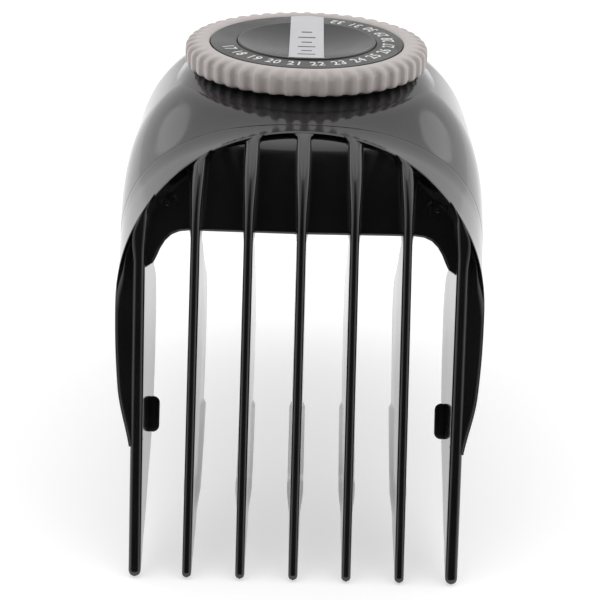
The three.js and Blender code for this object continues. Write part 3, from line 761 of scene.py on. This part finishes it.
@dataclass
class Comb(Assembly):
    """The front moulding: rim, recessed web and seven teeth, with two pads in the outer teeth."""

    surface: ArchSurface
    wall: float = 1.8
    seam_gap: float = 0.02
    web_front: float = 2.4
    web_lean: float = 0.19
    web_wall: float = 1.4
    web_clearance: float = 0.85
    web_reach: float = 0.4
    web_depth: float = 1.2
    web_edge_bulge: float = 0.28
    skirt_wall: float = 0.8
    skirt_reach: float = 1.3
    skirt_cove: float = 0.35
    lip: float = 0.12
    seam_margin: float = 0.4
    pitch: float = 6.75
    tooth_width: float = 1.2
    outer_x: float = 20.65
    outer_width: float = 1.55
    paddle_width: float = 2.1
    edge_radius: float = 0.55
    draft: float = 0.12
    outer_draft: float = 0.05
    root: float = 0.28
    outer_root: float = 0.3
    fillet: float = 0.3
    fillet_depth: float = 1.7
    toe_in: float = 0.55
    tip: float = -35.6
    pad_t: float = 11.5
    pad_s: float = -15.8
    pad_x: float = 19.35
    pad_radius: float = 0.9
    pad_length: float = 4.8
    web_line: Sequence[tuple[float, float, float]] = field(default_factory=lambda: (
        (0.0, 0.0, 8.7), (0.5, 14.6, 8.8), (0.56, 15.9, 8.65), (0.62, 16.9, 8.2), (0.68, 17.7, 7.4),
        (0.74, 18.3, 6.4), (0.8, 18.75, 5.3), (0.86, 19.2, 4.3), (0.92, 20.2, 3.4),
        (1.0, 20.6, 0.6)))

    rear_line: Sequence[tuple[float, float]] = field(default_factory=lambda: (
        (-35.6, 0.55), (-34.3, 1.8), (-31.4, 4.3), (-25.3, 9.0), (-19.0, 13.2), (-13.0, 15.6),
        (-6.3, 17.0), (2.6, 16.2), (5.9, 7.2), (8.7, 3.6), (19.7, 5.6)))

    def web_edge(self, turn: float) -> tuple[float, float]:
        """Where the web's lower edge lies, in x and s, for a place round the arch.

        Args:
            turn: the place round the arch.

        Returns:
            Its x, and its height along the teeth.
        """
        side = -1 if turn < 0 else 1
        turn = abs(turn)
        if turn >= 1:
            y = self.surface.front_y(turn, 0, 0)
            s = comb_ts(y, self.surface.at(turn, y)[1])[1]
            return side * (self.outer_x - self.drift(s)), s
        (a, xa, sa), (b, xb, sb) = next(
            pair for pair in zip(self.web_line, self.web_line[1:]) if turn <= pair[1][0])
        share = (turn - a) / (b - a)
        return side * mix(xa, xb, share), mix(sa, sb, share)

    def web_t(self, s: float) -> float:
        """Depth of the web's front face at height s."""
        flat = self.web_front + self.web_lean * (s - self.surface.web_bottom)
        return soft_max(flat, self.surface.curl(s) + self.web_clearance, 0.2)

    def drift(self, s: float) -> float:
        """How far an outer tooth has closed in at height s."""
        bottom = self.surface.web_bottom
        return self.toe_in * max(0.0, (bottom - s) / (bottom - self.tip))

    def loop(self, turn: float) -> list[Vector]:
        """The closed wall section at a place round the arch, as points in working millimetres.

        Args:
            turn: the place round the arch.

        Returns:
            Points from the seam over the rim, down the web, and back inside to the seam.
        """
        surface = self.surface
        skirt = smoothstep(abs(turn), 0.8, 1.05)
        seam = surface.seam_y - self.seam_gap
        front = surface.front_y(turn, 0, self.lip)
        points: list[Vector] = []
        for i in range(25):
            y = mix(seam, front, i / 24)
            x, z = surface.at(turn, y, self.seam_gap if i == 0 else 0)
            points.append(Vector((x, y, z)))
        reach = mix(self.web_reach, self.skirt_reach, skirt)
        guess_y = surface.front_y(turn, reach, self.web_depth)
        guess_s = comb_ts(guess_y, surface.at(turn, guess_y, reach)[1])[1]
        cove = mix(self.web_t(guess_s) - surface.curl(guess_s), self.skirt_cove, skirt)
        steps = 12
        for i in range(1, steps + 1):
            angle = math.pi / 2 * i / steps
            inset = 0.1 * min(1, i / 2) + reach * (1 - math.cos(angle))
            depth = self.lip * max(0, 1 - i / 2) + cove * math.sin(angle) ** 1.2 * (i > 1)
            y = surface.front_y(turn, inset, depth)
            x, z = surface.at(turn, y, inset)
            points.append(Vector((x, y, z)))
        edge_x, edge_s = self.web_edge(turn)
        t_last, s_last = comb_ts(points[-1].y, points[-1].z)
        x_last = points[-1].x
        edge_t = mix(self.web_t(edge_s), t_last, skirt)
        for i in range(1, 11):
            share = 0.5 - 0.5 * math.cos(math.pi * i / 10)
            s = mix(s_last, edge_s, share)
            flat = self.web_t(s) + (t_last - self.web_t(s_last)) * (1 - share)
            y, z = comb_yz(mix(flat, mix(t_last, edge_t, share), skirt), s)
            points.append(Vector((mix(x_last, edge_x, share), y, z)))
        thick = mix(self.web_wall, self.skirt_wall, skirt)
        out = Vector((edge_x - x_last, 0, edge_s - s_last))
        out = out.normalized() if out.length > 1e-6 else Vector((0, 0, -1))
        for i in range(1, 7):
            angle = math.pi * i / 7
            bulge = self.web_edge_bulge * math.sin(angle) ** 0.6
            y, z = comb_yz(edge_t + thick / 2 * (1 - math.cos(angle)), edge_s + out.z * bulge)
            points.append(Vector((edge_x + out.x * bulge, y, z)))
        back_y = min(surface.front_y(turn, self.wall, cove + thick), seam - self.seam_margin)
        back_x, back_z = surface.at(turn, back_y, self.wall)
        t_back, s_back = comb_ts(back_y, back_z)
        for i in range(0, 9):
            share = i / 8
            y, z = comb_yz(mix(edge_t + thick, t_back, share), mix(edge_s, s_back, share))
            points.append(Vector((mix(edge_x, back_x, share), y, z)))
        for i in range(1, 11):
            y = mix(back_y, seam, i / 10)
            x, z = surface.at(turn, y, self.wall)
            points.append(Vector((x, y, z)))
        return points

    def build_wall(self) -> bmesh.types.BMesh:
        """The rim and web as one closed wall swept round the arch.

        Returns:
            A closed mesh.
        """
        columns = 240
        loops = [self.loop(even_turn(i / columns, 0.2) * 0.9999) for i in range(columns + 1)]
        rows = len(loops[0])

        def mapping(u: float, v: float) -> Vector:
            """The section point nearest to a pair of parameters."""
            point = loops[round(u * columns)][round(v * rows) % rows]
            return self.work.point(*point)

        bm = sheet(columns, rows, mapping)
        bmesh.ops.remove_doubles(bm, verts=bm.verts, dist=2e-7)
        bmesh.ops.holes_fill(bm, edges=[edge for edge in bm.edges if edge.is_boundary], sides=0)
        bmesh.ops.recalc_face_normals(bm, faces=bm.faces)
        return bm

    def rear_edge(self, s: float) -> float:
        """Depth of a tooth's rear edge at height s: a long fin that narrows to the tip.

        Args:
            s: the height along the teeth.

        Returns:
            The depth behind the tooth fronts.
        """
        curve = self.rear_line
        for index, ((a, ta), (b, tb)) in enumerate(zip(curve, curve[1:])):
            if s <= b:
                share = (s - a) / (b - a)
                before = curve[max(0, index - 1)]
                after = curve[min(len(curve) - 1, index + 2)]
                slope_a = (tb - before[1]) / (b - before[0]) * (b - a)
                slope_b = (after[1] - ta) / (after[0] - a) * (b - a)
                cube, square = share ** 3, share ** 2
                return ((2 * cube - 3 * square + 1) * ta + (cube - 2 * square + share) * slope_a
                        + (3 * square - 2 * cube) * tb + (cube - square) * slope_b)
        return curve[-1][1]

    def half_thickness(self, t: float, s: float, front: float, rear: float, outer: bool) -> float:
        """Half a tooth's thickness at a place on its side, rounded off at every edge.

        Args:
            t: the place's depth.
            s: its height along the teeth.
            front: depth of the front edge there.
            rear: depth of the rear edge there.
            outer: whether it is one of the two outer teeth.

        Returns:
            Half the thickness.
        """
        base = (self.outer_width if outer else self.tooth_width) / 2
        depth = t - front
        behind = smoothstep(depth, 0.5, 6)
        at_front = 1 - smoothstep(depth, 1.0, 3.0)
        if outer:
            base += self.outer_root * smoothstep(s, 4.5, 9) * at_front - self.outer_draft * behind
        else:
            base += self.draft * behind + self.root * smoothstep(s, 9, 17) * at_front
            fillet = math.exp(-((depth - self.fillet_depth) / 0.7) ** 2)
            base += self.fillet * fillet * smoothstep(s, 6.5, 9.5)
            paddle = smoothstep(s, -28.5, -24.5) * (1 - smoothstep(s, -14.3, -13.7))
            base = mix(base, self.paddle_width / 2, paddle * smoothstep(rear - t, 4.4, 3.9))
        radius = min(self.edge_radius, (rear - front) / 2)
        edge = clamp(min(t - front, rear - t) / radius)
        tip = clamp((s - self.tip) / base)
        round_off = math.sqrt(max(0.0, 1 - (1 - edge) ** 2.2)) * math.sqrt(1 - (1 - tip) ** 2)
        return max(0.01, base * round_off)

    def build_tooth(self, x: float) -> bmesh.types.BMesh:
        """One tooth as a closed blade with rounded edges.

        Args:
            x: its distance from the middle.

        Returns:
            A closed mesh.
        """
        outer = abs(x) > self.outer_x - 1
        way = math.copysign(1, x)
        tops = {side: self.surface.rim_height_at(x + side * 0.8) + 0.1 for side in (-1, 0, 1)}
        across = [0, 0.004, 0.02, 0.06, 0.13, 0.25, 0.42, 0.6, 0.75, 0.87, 0.94, 0.98, 0.996, 1]
        columns, rows = len(across) - 1, 170

        def side_point(u: float, v: float, side: int) -> Vector:
            """A point of one side: u from front to rear, v from tip to top."""
            top = tops[0]
            s = mix(self.tip, top, 0.55 * v + 0.45 * v ** 3)
            front = self.surface.curl(s) + 0.3 * max(0.0, 1 - (s - self.tip) / 0.7) ** 2
            front += 0.1 * smoothstep(s, top - 0.5, top)
            rear = max(front + 0.3, self.rear_edge(s))
            share = across[round(u * columns)]
            near = min(0.5, 0.9 / (rear - front))
            if share <= 0.42:
                t = front + (rear - front) * near * (share / 0.42)
            else:
                t = mix(front + (rear - front) * near, rear, (share - 0.42) / 0.58)
            half = self.half_thickness(t, s, front, rear, outer)
            if not outer or side * x < 0:
                flare = clamp((s - top + 1.0) / 1.0)
                half += 0.75 * (1 - math.sqrt(1 - flare ** 2)) * smoothstep(half, 0.1, 0.5)
            s += (tops[side] - top) * half / 0.8 * smoothstep(v, 0.85, 1)
            y, z = comb_yz(t, s)
            drift = way * self.drift(s) if outer else 0.0
            return self.work.point(x - drift + side * half, y, z)

        return closed_sheets(columns, rows, lambda u, v: side_point(u, v, -1),
                             lambda u, v: side_point(u, v, 1))

    def build_pin_mark(self, side: int) -> bmesh.types.BMesh:
        """The faint round witness mark of an ejector pin on the web.

        Args:
            side: -1 for the left one, 1 for the right one.

        Returns:
            A closed ring with a dot in it.
        """
        centre_s = 12.0
        y, z = comb_yz(self.web_t(centre_s), centre_s)
        ring = ((0.9, -0.2), (0.98, 0.06), (1.15, 0.1), (1.32, 0.06), (1.4, -0.2))
        dot = ((0.0, -0.2), (0.32, -0.2), (0.3, 0.05), (0.18, 0.09), (0.0, 0.1))
        bm = turned(ring, Vector(), 40)
        absorb(bm, turned(dot, Vector(), 24))
        tilt = Matrix.Rotation(math.pi / 2 - COMB_LEAN, 4, "X")
        bmesh.ops.transform(bm, matrix=tilt, verts=bm.verts)
        bmesh.ops.translate(bm, verts=bm.verts, vec=self.work.point(side * 17.4, y, z))
        return bm

    def build_tongue(self, side: int) -> bmesh.types.BMesh:
        """One of the two tongues that the shell screws hold under the hood."""
        return self.block((side * 11.5 - 2.5, 10.6, 11.6), (side * 11.5 + 2.5, 22, 13.5), 0.3)

    def build_pad(self, side: int) -> bpy.types.Object:
        """A pill-shaped rubber pad pressed into an outer tooth's inner face.

        Args:
            side: -1 for the left one, 1 for the right one.

        Returns:
            The pad.
        """
        bm = bmesh.new()
        bmesh.ops.create_uvsphere(bm, u_segments=32, v_segments=24, radius=self.pad_radius * MM)
        straight = (self.pad_length / 2 - self.pad_radius) * MM
        for vert in bm.verts:
            if abs(vert.co.z) > 1e-7:
                vert.co.z += math.copysign(straight, vert.co.z)
        y, z = comb_yz(self.pad_t, self.pad_s)
        place = Matrix.Translation(self.work.point(side * self.pad_x, y, z))
        bmesh.ops.transform(bm, matrix=place @ Matrix.Rotation(-COMB_LEAN, 4, "X"), verts=bm.verts)
        name = "left" if side < 0 else "right"
        return self.piece(f"{name}_rubber_pad", bm, Body.HOUSING, Slot.RUBBER,
                          (f"{name}_guide_pad",), 50)

    def build(self) -> None:
        """Make the comb and its pads."""
        bm = self.build_wall()
        for x in [self.pitch * i for i in range(-2, 3)] + [-self.outer_x, self.outer_x]:
            absorb(bm, self.build_tooth(x))
        for side in (-1, 1):
            absorb(bm, self.build_pin_mark(side), self.build_tongue(side))
        self.piece("comb_moulding", bm, Body.HOUSING, Slot.GLOSS_BLACK, ("guide_comb",), 50)
        for side in (-1, 1):
            self.build_pad(side)


# ---- hood


@dataclass
class Hood(Assembly):
    """The rear shell, its collar under the dial, and the bosses on its inside."""

    surface: ArchSurface
    wall: float = 1.8
    collar_radius: float = 16.2
    collar_top: float = 19.9
    collar_foot: float = 19.0
    bore_radius: float = 6.45

    def mapping(self, u: float, v: float) -> Vector:
        """A point of the outer surface.

        Args:
            u: the share from the left lower edge to the right one.
            v: the share from the seam to the rear.

        Returns:
            The point in metres.
        """
        y = mix(self.surface.seam_y, self.surface.rear_y, v)
        x, z = self.surface.at(even_turn(u, 0.19) * 0.9999, y)
        return self.work.point(x, y, z)

    def build_shell(self) -> bpy.types.Object:
        """The smooth shell, open at the front, at the back and below, with the dial's bore.

        Returns:
            The shell.
        """
        bm = sheet(210, 96, self.mapping)
        centre = self.work.point(0, Dial.centre_y, 0)
        bore = self.bore_radius * MM

        def reach(vert: bmesh.types.BMVert) -> float:
            """A point's distance from the dial's axis."""
            return math.hypot(vert.co.x - centre.x, vert.co.y - centre.y)

        top = centre.z + 15 * MM
        inside = [vert for vert in bm.verts if reach(vert) < bore and vert.co.z > top]
        bmesh.ops.delete(bm, geom=inside, context="VERTS")
        for vert in bm.verts:
            if vert.is_boundary and reach(vert) < bore * 1.4 and vert.co.z > top:
                share = bore / reach(vert)
                vert.co.x = centre.x + (vert.co.x - centre.x) * share
                vert.co.y = centre.y + (vert.co.y - centre.y) * share
        bmesh.ops.recalc_face_normals(bm, faces=bm.faces)
        upward = max(bm.faces, key=lambda face: face.calc_center_median().z)
        if upward.normal.z < 0:
            bmesh.ops.reverse_faces(bm, faces=bm.faces)
        piece = self.piece("hood_moulding", bm, Body.HOUSING, Slot.GLOSS_BLACK, ("hood_shell",), 60)
        wall = piece.modifiers.new("Wall", "SOLIDIFY")
        wall.thickness = self.wall * MM
        wall.offset = -1
        wall.use_even_offset = True
        add_bevel(piece, 0.07, 2, 55)
        return piece

    def build_collar(self) -> bmesh.types.BMesh:
        """The collar that sweeps up from the shell to just under the dial.

        Returns:
            A closed mesh.
        """
        wide, top, foot = self.collar_radius, self.collar_top, self.collar_foot
        steps = 20
        sweep = [(mix(foot, wide, i / steps), top - 0.01) for i in range(steps)]
        profile = [(self.bore_radius, 16.6), (foot, 16.6), *sweep, (wide, top - 0.1),
                   (wide - 0.1, top), (self.bore_radius + 0.2, top), (self.bore_radius, top - 0.2)]
        bm = turned(profile, self.work.point(0, Dial.centre_y, 0), 240)
        for vert in bm.verts:
            place = (vert.co - self.work.origin) / MM
            share = (math.hypot(place.x, place.y - Dial.centre_y) - wide) / (foot - wide)
            if share < 1e-3:
                continue
            ground = self.surface.height_at(place.x, place.y)
            rise = (top - 0.1 - ground) * (1 - clamp(share)) ** 2.2 - 0.04 * share
            if place.z < 17:
                rise = -0.6
            vert.co.z = self.work.origin.z + (ground + rise) * MM
        return bm

    def build_bosses(self) -> bpy.types.Object:
        """Posts and blocks on the inside: bridge bosses, spring posts, rail and tongue blocks.

        Returns:
            The bosses and the collar, as one piece.
        """
        bm = self.build_collar()
        for side in (-1, 1):
            absorb(bm, post(self.work.point(0, Dial.centre_y + side * 11.6, 9.05), 2.2, 9))
            y = Dial.centre_y + side * 9.6
            absorb(bm, self.block((9.0, y - 1.3, 14.2), (9.84, y + 1.3, 17.6), 0.12),
                   self.block((10.46, y - 1.3, 14.2), (11.6, y + 1.3, 17.6), 0.2))
            tongue = side * 11.5
            absorb(bm, self.block((tongue - 2.2, 17.1, 13.55), (tongue + 2.2, 21.6, 16.0), 0.25))
            inner, outer = sorted((side * 21.95, side * 24.1))
            for y in (24, 50):
                absorb(bm, self.block((inner, y - 2.4, 1.9), (outer, y + 2.4, 6.3), 0.25))
        return self.piece("hood_bosses", bm, Body.HOUSING, Slot.GLOSS_BLACK)

    def build(self) -> None:
        """Make the shell and its bosses."""
        self.build_shell()
        self.build_bosses()


# ---- dial


@dataclass
class Dial(Assembly):
    """The ribbed ring, the numbered scale, the dished cap and the pointer strip."""

    rib_count: int = 48
    rib_depth: float = 0.42
    scale_outer: float = 13.72
    scale_inner: float = 9.95
    scale_top: float = 23.32
    first_number: int = 17
    last_number: int = 32
    number_step: float = 15.0
    first_angle: float = -67.5
    number_size: float = 2.4
    number_narrowing: float = 0.84
    number_weight: float = 0.025
    ink_height: float = 0.012
    pointer_width: float = 4.9
    pointer_start: float = -9.4
    pointer_end: float = 12.85
    dish_radius: float = 9.4
    dish_floor: float = 22.25
    dish_depth: float = 1.17

    centre_y = 37.6
    bottom = 20.25

    def centre(self) -> Vector:
        """The dial's axis at height zero."""
        return self.work.point(0, self.centre_y, 0)

    def build_ring(self) -> bpy.types.Object:
        """Spin the ring's profile and press the rounded ribs into its outer face.

        Returns:
            The ring.
        """
        profile = (
            (4.3, 20.6), (15.9, 20.6), (16.1, 20.5), (16.45, 20.3), (16.7, 20.25), (16.95, 20.3),
            (17.15, 20.42), (17.27, 20.62), (17.3, 20.9), (17.3, 21.3), (17.3, 21.7), (17.3, 22.1),
            (17.28, 22.45), (17.2, 22.75), (17.05, 23.0), (16.8, 23.2), (16.45, 23.34),
            (16.0, 23.42), (15.3, 23.46), (14.7, 23.44), (14.2, 23.36), (13.95, 23.26),
            (13.82, 23.1), (13.8, 22.9), (13.8, 21.8), (4.3, 21.8),
        )
        centre = self.centre()
        bm = turned(profile, centre, self.rib_count * 10)
        for vert in bm.verts:
            offset = vert.co - centre
            radius = math.hypot(offset.x, offset.y)
            if radius < 15.4 * MM:
                continue
            angle = math.atan2(offset.y, offset.x)
            wave = smoothstep(0.5 + 0.5 * math.cos(angle * self.rib_count), 0.12, 0.8)
            outward = smoothstep(radius / MM, 15.4, 16.9)
            cut = self.rib_depth * (1 - wave) * outward * MM
            vert.co.x -= cut * math.cos(angle)
            vert.co.y -= cut * math.sin(angle)
            if offset.z > 22.6 * MM:
                vert.co.z -= cut * 0.6
        return self.piece("ribbed_ring", bm, Body.DIAL, Slot.WARM_GREY, ("dial_ring",), 50)

    def build_scale(self) -> bpy.types.Object:
        """The flat black ring that carries the numbers.

        Returns:
            The ring.
        """
        inner, outer, top = self.scale_inner, self.scale_outer, self.scale_top
        profile = ((inner, 21.85), (outer, 21.85), (outer, top - 0.06), (outer - 0.06, top),
                   (inner + 0.12, top), (inner, top - 0.12))
        return self.piece("scale_plate", turned(profile, self.centre(), 160), Body.DIAL,
                          Slot.SATIN_BLACK, ("scale_ring",), 30)

    def build_numbers(self) -> bpy.types.Object:
        """White numbers on the scale, their tops towards the centre, one to every step.

        Returns:
            The numbers, as one piece.
        """
        bm = bmesh.new()
        radius = (self.scale_inner + self.scale_outer) / 2 - 0.05
        for index, number in enumerate(range(self.first_number, self.last_number + 1)):
            curve = bpy.data.curves.new("number", "FONT")
            curve.body = str(number)
            curve.align_x = "CENTER"
            curve.align_y = "CENTER"
            curve.size = self.number_size * MM
            curve.space_character = 1.1
            curve.offset = self.number_weight * MM
            curve.extrude = self.ink_height * MM
            curve.resolution_u = 4
            text = add_object("number", curve)
            settled = text.evaluated_get(bpy.context.evaluated_depsgraph_get())
            mesh = bpy.data.meshes.new_from_object(settled)
            bpy.data.objects.remove(text)
            bpy.data.curves.remove(curve)
            angle = math.radians(self.first_angle + index * self.number_step)
            spot = self.centre() + MM * Vector((
                radius * math.sin(angle), -radius * math.cos(angle),
                self.scale_top + self.ink_height))
            narrow = Matrix.Diagonal((self.number_narrowing, 1, 1, 1))
            mesh.transform(Matrix.Translation(spot) @ Matrix.Rotation(angle, 4, "Z") @ narrow)
            bm.from_mesh(mesh)
            bpy.data.meshes.remove(mesh)
        return self.piece("scale_numbers", bm, Body.DIAL, Slot.SATIN_BLACK,
                          material=self.palette.ink)

    def dish_height(self, reach: float) -> float:
        """Height of the dished cap's face at a distance from its centre."""
        return self.dish_floor + self.dish_depth * (clamp(reach / self.dish_radius) ** 2)

    def build_cap(self) -> bpy.types.Object:
        """The dished cap with a rounded rim.

        Returns:
            The cap.
        """
        steps = 16
        radii = [self.dish_radius * i / steps for i in range(steps + 1)]
        face = [(radius, self.dish_height(radius)) for radius in radii]
        rim = [(9.52, 23.45), (9.62, 23.48), (9.74, 23.47), (9.84, 23.42), (9.88, 23.33),
               (9.88, 22.1), (9.7, 21.9), (0.0, 21.9)]
        return self.piece("dished_cap", turned(face + rim, self.centre(), 160), Body.HOUSING,
                          Slot.DARK_GREY, ("centre_cap",), 40)

    def strip_height(self, along: float) -> float:
        """Height of the pointer strip's face at a distance behind the dial's centre.

        Args:
            along: the distance, below 0 in front of the centre.

        Returns:
            The height.
        """
        if along > 9.3:
            return 23.52
        return 22.9 + 0.62 * clamp(abs(along) / self.dish_radius) ** 2.1

    def build_pointer(self) -> bpy.types.Object:
        """The brushed strip: it follows the dish, crosses the scale and ends in a blunt point.

        Returns:
            The strip.
        """
        half = self.pointer_width / 2

        def mapping(u: float, v: float, under: bool) -> Vector:
            """A point of the strip's face or underside: u across it, v along it."""
            x = (u * 2 - 1) * half
            along = mix(self.pointer_start, self.pointer_end, v)
            along += v ** 6 * 0.75 * (1 - abs(x) / half)
            if along < 0:
                along = max(along, -math.sqrt(max(0.0, 9.45 ** 2 - x * x)))
            height = self.strip_height(along)
            if not under:
                height -= 0.05 * (1 - clamp((half - abs(x)) / 0.12)) ** 2
            elif abs(along) > 9.3:
                height -= 0.15
            else:
                height = min(height - 0.18, self.dish_height(abs(along)) - 0.1)
            return self.work.point(x, self.centre_y + along, height)

        bm = closed_sheets(30, 90, lambda u, v: mapping(u, v, True),
                           lambda u, v: mapping(u, v, False))
        return self.piece("pointer_inlay", bm, Body.HOUSING, Slot.ALUMINIUM, ("pointer_strip",), 40)

    def build_ticks(self) -> bpy.types.Object:
        """Plain printed marks along the strip: a row of short and long bars.

        Returns:
            The marks, as one piece.
        """
        bm = bmesh.new()
        for index in range(6):
            along = -6.4 + index * 2.4
            wide = 0.75 if index % 2 else 1.25
            y, z = self.centre_y + along, self.strip_height(along)
            absorb(bm, self.block((-wide, y - 0.16, z - 0.05), (wide, y + 0.16, z + 0.03), 0.02, 1))
        return self.piece("strip_marks", bm, Body.HOUSING, Slot.ALUMINIUM,
                          material=self.palette.dark_ink)

    def build(self) -> None:
        """Make the dial's visible pieces."""
        self.build_ring()
        self.build_scale()
        self.build_numbers()
        self.build_cap()
        self.build_pointer()
        self.build_ticks()


# ---- mechanism


@dataclass
class Mechanism(Assembly):
    """The pieces under the hood: softened copies of the CAD parts, in their own finishes."""

    moulded: Sequence[tuple[str, Body, Slot, float]] = (
        ("slide_carriage", Body.CARRIAGE, Slot.SATIN_BLACK, 0.25),
        ("release_latch", Body.LATCH, Slot.SATIN_BLACK, 0.2),
        ("drive_rack", Body.CARRIAGE, Slot.ACETAL, 0.1),
        ("left_guide_rail", Body.HOUSING, Slot.ACETAL, 0.2),
        ("right_guide_rail", Body.HOUSING, Slot.ACETAL, 0.2),
        ("axle_bridge", Body.HOUSING, Slot.SPRING_STEEL, 0.15),
        ("drive_pinion", Body.DIAL, Slot.ACETAL, 0.08),
        ("detent_wheel", Body.DIAL, Slot.ACETAL, 0.1),
    )

    def soften(self, node: str, body: Body, slot: Slot, width: float) -> bpy.types.Object:
        """Replace a CAD part by a merged copy of it with rounded edges.

        Args:
            node: the CAD node.
            body: the body it rides on.
            slot: its material slot.
            width: the rounding in millimetres.

        Returns:
            The new piece.
        """
        bm = bmesh.new()
        bm.from_mesh(frame["nodes"][node].data)
        bmesh.ops.remove_doubles(bm, verts=bm.verts, dist=1e-6)
        bmesh.ops.dissolve_limit(bm, angle_limit=math.radians(1), verts=bm.verts, edges=bm.edges)
        bmesh.ops.recalc_face_normals(bm, faces=bm.faces)
        piece = self.piece(f"{node}_part", bm, body, slot, (node,))
        add_bevel(piece, width, 2, 35)
        return piece

    def build(self) -> None:
        """Soften the moulded parts, then give every part that stays its finish."""
        for node, body, slot, width in self.moulded:
            self.soften(node, body, slot, width)
        parts = frame["record"]["subparts"]
        slots = {entry["node"]: Slot(entry["material_slot"]) for entry in parts}
        for name, piece in frame["nodes"].items():
            piece.data.materials.clear()
            piece.data.materials.append(self.palette[slots[name]])
        log.info("finished %d carried parts", len(frame["nodes"]))


# ---- studio


@dataclass
class Studio:
    """Floor, soft lights and the camera."""

    work: WorkFrame
    lens: float = 90.0
    distance: float = 190.0
    roll: float = 1.5
    surround_pull: tuple[float, float, float] = (0.9, 0.8, 0.5)
    surround_fade: tuple[float, float] = (-0.05, 0.65)
    surround_dark: float = 0.02
    floor_half_width: float = 3.0
    floor_colour: tuple[float, float, float, float] = (0.6, 0.6, 0.6, 1)
    floor_glow: float = 0.5
    floor_drop: float = 0.0001

    def add_softbox(self, name: str, place: Vector, target: Vector, size: tuple[float, float],
                    power: float) -> None:
        """Hang an oval area light that faces a target.

        Args:
            name: the light's name.
            place: where it hangs.
            target: what it faces.
            size: its width and height in metres.
            power: in watts.
        """
        data = bpy.data.lights.new(name, "AREA")
        data.shape = "ELLIPSE"
        data.size, data.size_y = size
        data.energy = power
        lamp = add_object(name, data)
        lamp.location = place
        lamp.rotation_euler = (target - place).to_track_quat("-Z", "Y").to_euler()

    def build_floor(self) -> None:
        """A wide, plain, pale floor level with the object's lowest point."""
        bm = bmesh.new()
        bmesh.ops.create_grid(bm, x_segments=1, y_segments=1, size=self.floor_half_width)
        mesh = bpy.data.meshes.new("studio_floor")
        bm.to_mesh(mesh)
        bm.free()
        material = bpy.data.materials.new("Pale floor")
        material.use_nodes = True
        shader = material.node_tree.nodes["Principled BSDF"]
        Nodes(material.node_tree).feed(shader, {
            "Base Color": self.floor_colour, "Roughness": 0.9, "Emission Color": (1, 1, 1, 1),
            "Emission Strength": self.floor_glow})
        mesh.materials.append(material)
        floor = add_object("studio_floor", mesh)
        floor.location.z = cad_bounds[0][2] - self.floor_drop

    def build_lights(self) -> None:
        """Soft boxes at both sides and above, and the surround."""
        middle = self.work.point(0, 25, 0)
        for side, name in ((-1, "left"), (1, "right")):
            self.add_softbox(f"{name}_softbox", middle + Vector((side * 0.8, 0.25, 0.35)), middle,
                             (1.1, 1.1), 1.8)
        self.add_softbox("top_softbox", middle + Vector((0, 0.1, 1.0)), middle, (1.2, 1.0), 1.8)
        self.build_surround()

    def build_surround(self) -> None:
        """A pale surround that fades to dark on the viewer's side, so that gloss stays deep."""
        world = bpy.data.worlds.new("Pale surround")
        world.use_nodes = True
        nodes = Nodes(world.node_tree)
        place = nodes.add("TexCoord").outputs["Generated"]
        split = nodes.add("SeparateXYZ", {0: place}).outputs
        fold = nodes.add("VectorMath", {0: place}, operation="ABSOLUTE").outputs[0]
        sides = nodes.add("SeparateXYZ", {0: fold}).outputs
        join = nodes.add("CombineXYZ", {"X": sides["X"], "Y": split["Y"], "Z": split["Z"]})
        weigh = nodes.add("VectorMath", {0: join.outputs[0], 1: self.surround_pull},
                          operation="DOT_PRODUCT")
        low, high = self.surround_fade
        fade = nodes.add("MapRange", {
            "Value": weigh.outputs["Value"], "From Min": low, "From Max": high,
            "To Min": self.surround_dark, "To Max": 1.0}, interpolation_type="SMOOTHSTEP")
        background = world.node_tree.nodes["Background"]
        nodes.feed(background, {"Strength": fade.outputs["Result"], "Color": (1, 1, 1, 1)})
        bpy.context.scene.world = world

    def build_camera(self) -> None:
        """A long lens in front of the teeth, level with their lean."""
        forward = Vector((0, LEAN_COS, -LEAN_SIN))
        up = Vector((0, LEAN_SIN, LEAN_COS))
        right = Vector((1, 0, 0))
        turn = math.radians(self.roll)
        side = right * math.cos(turn) + up * math.sin(turn)
        head = up * math.cos(turn) - right * math.sin(turn)
        data = bpy.data.cameras.new("camera")
        data.lens = self.lens
        data.sensor_width = 36
        camera = add_object("camera", data)
        place = self.work.origin - forward * self.distance * MM
        turned_to_teeth = Matrix((side, head, -forward)).transposed().to_4x4()
        camera.matrix_world = Matrix.Translation(place) @ turned_to_teeth
        data.clip_start = 0.01
        bpy.context.scene.camera = camera

    def build(self) -> None:
        """Set up the studio."""
        self.build_camera()
        self.build_floor()
        self.build_lights()
        bpy.context.scene.view_settings.view_transform = "Standard"


def main() -> None:
    """Build every sub-assembly in order."""
    logging.basicConfig(level=logging.INFO, format="%(message)s")
    work = find_work_frame()
    palette = Palette()
    surface = ArchSurface()
    Studio(work).build()
    Comb(work, palette, surface).build()
    Hood(work, palette, surface).build()
    Dial(work, palette).build()
    Mechanism(work, palette).build()
    bpy.context.view_layer.update()


if __name__ == "__main__":
    main()
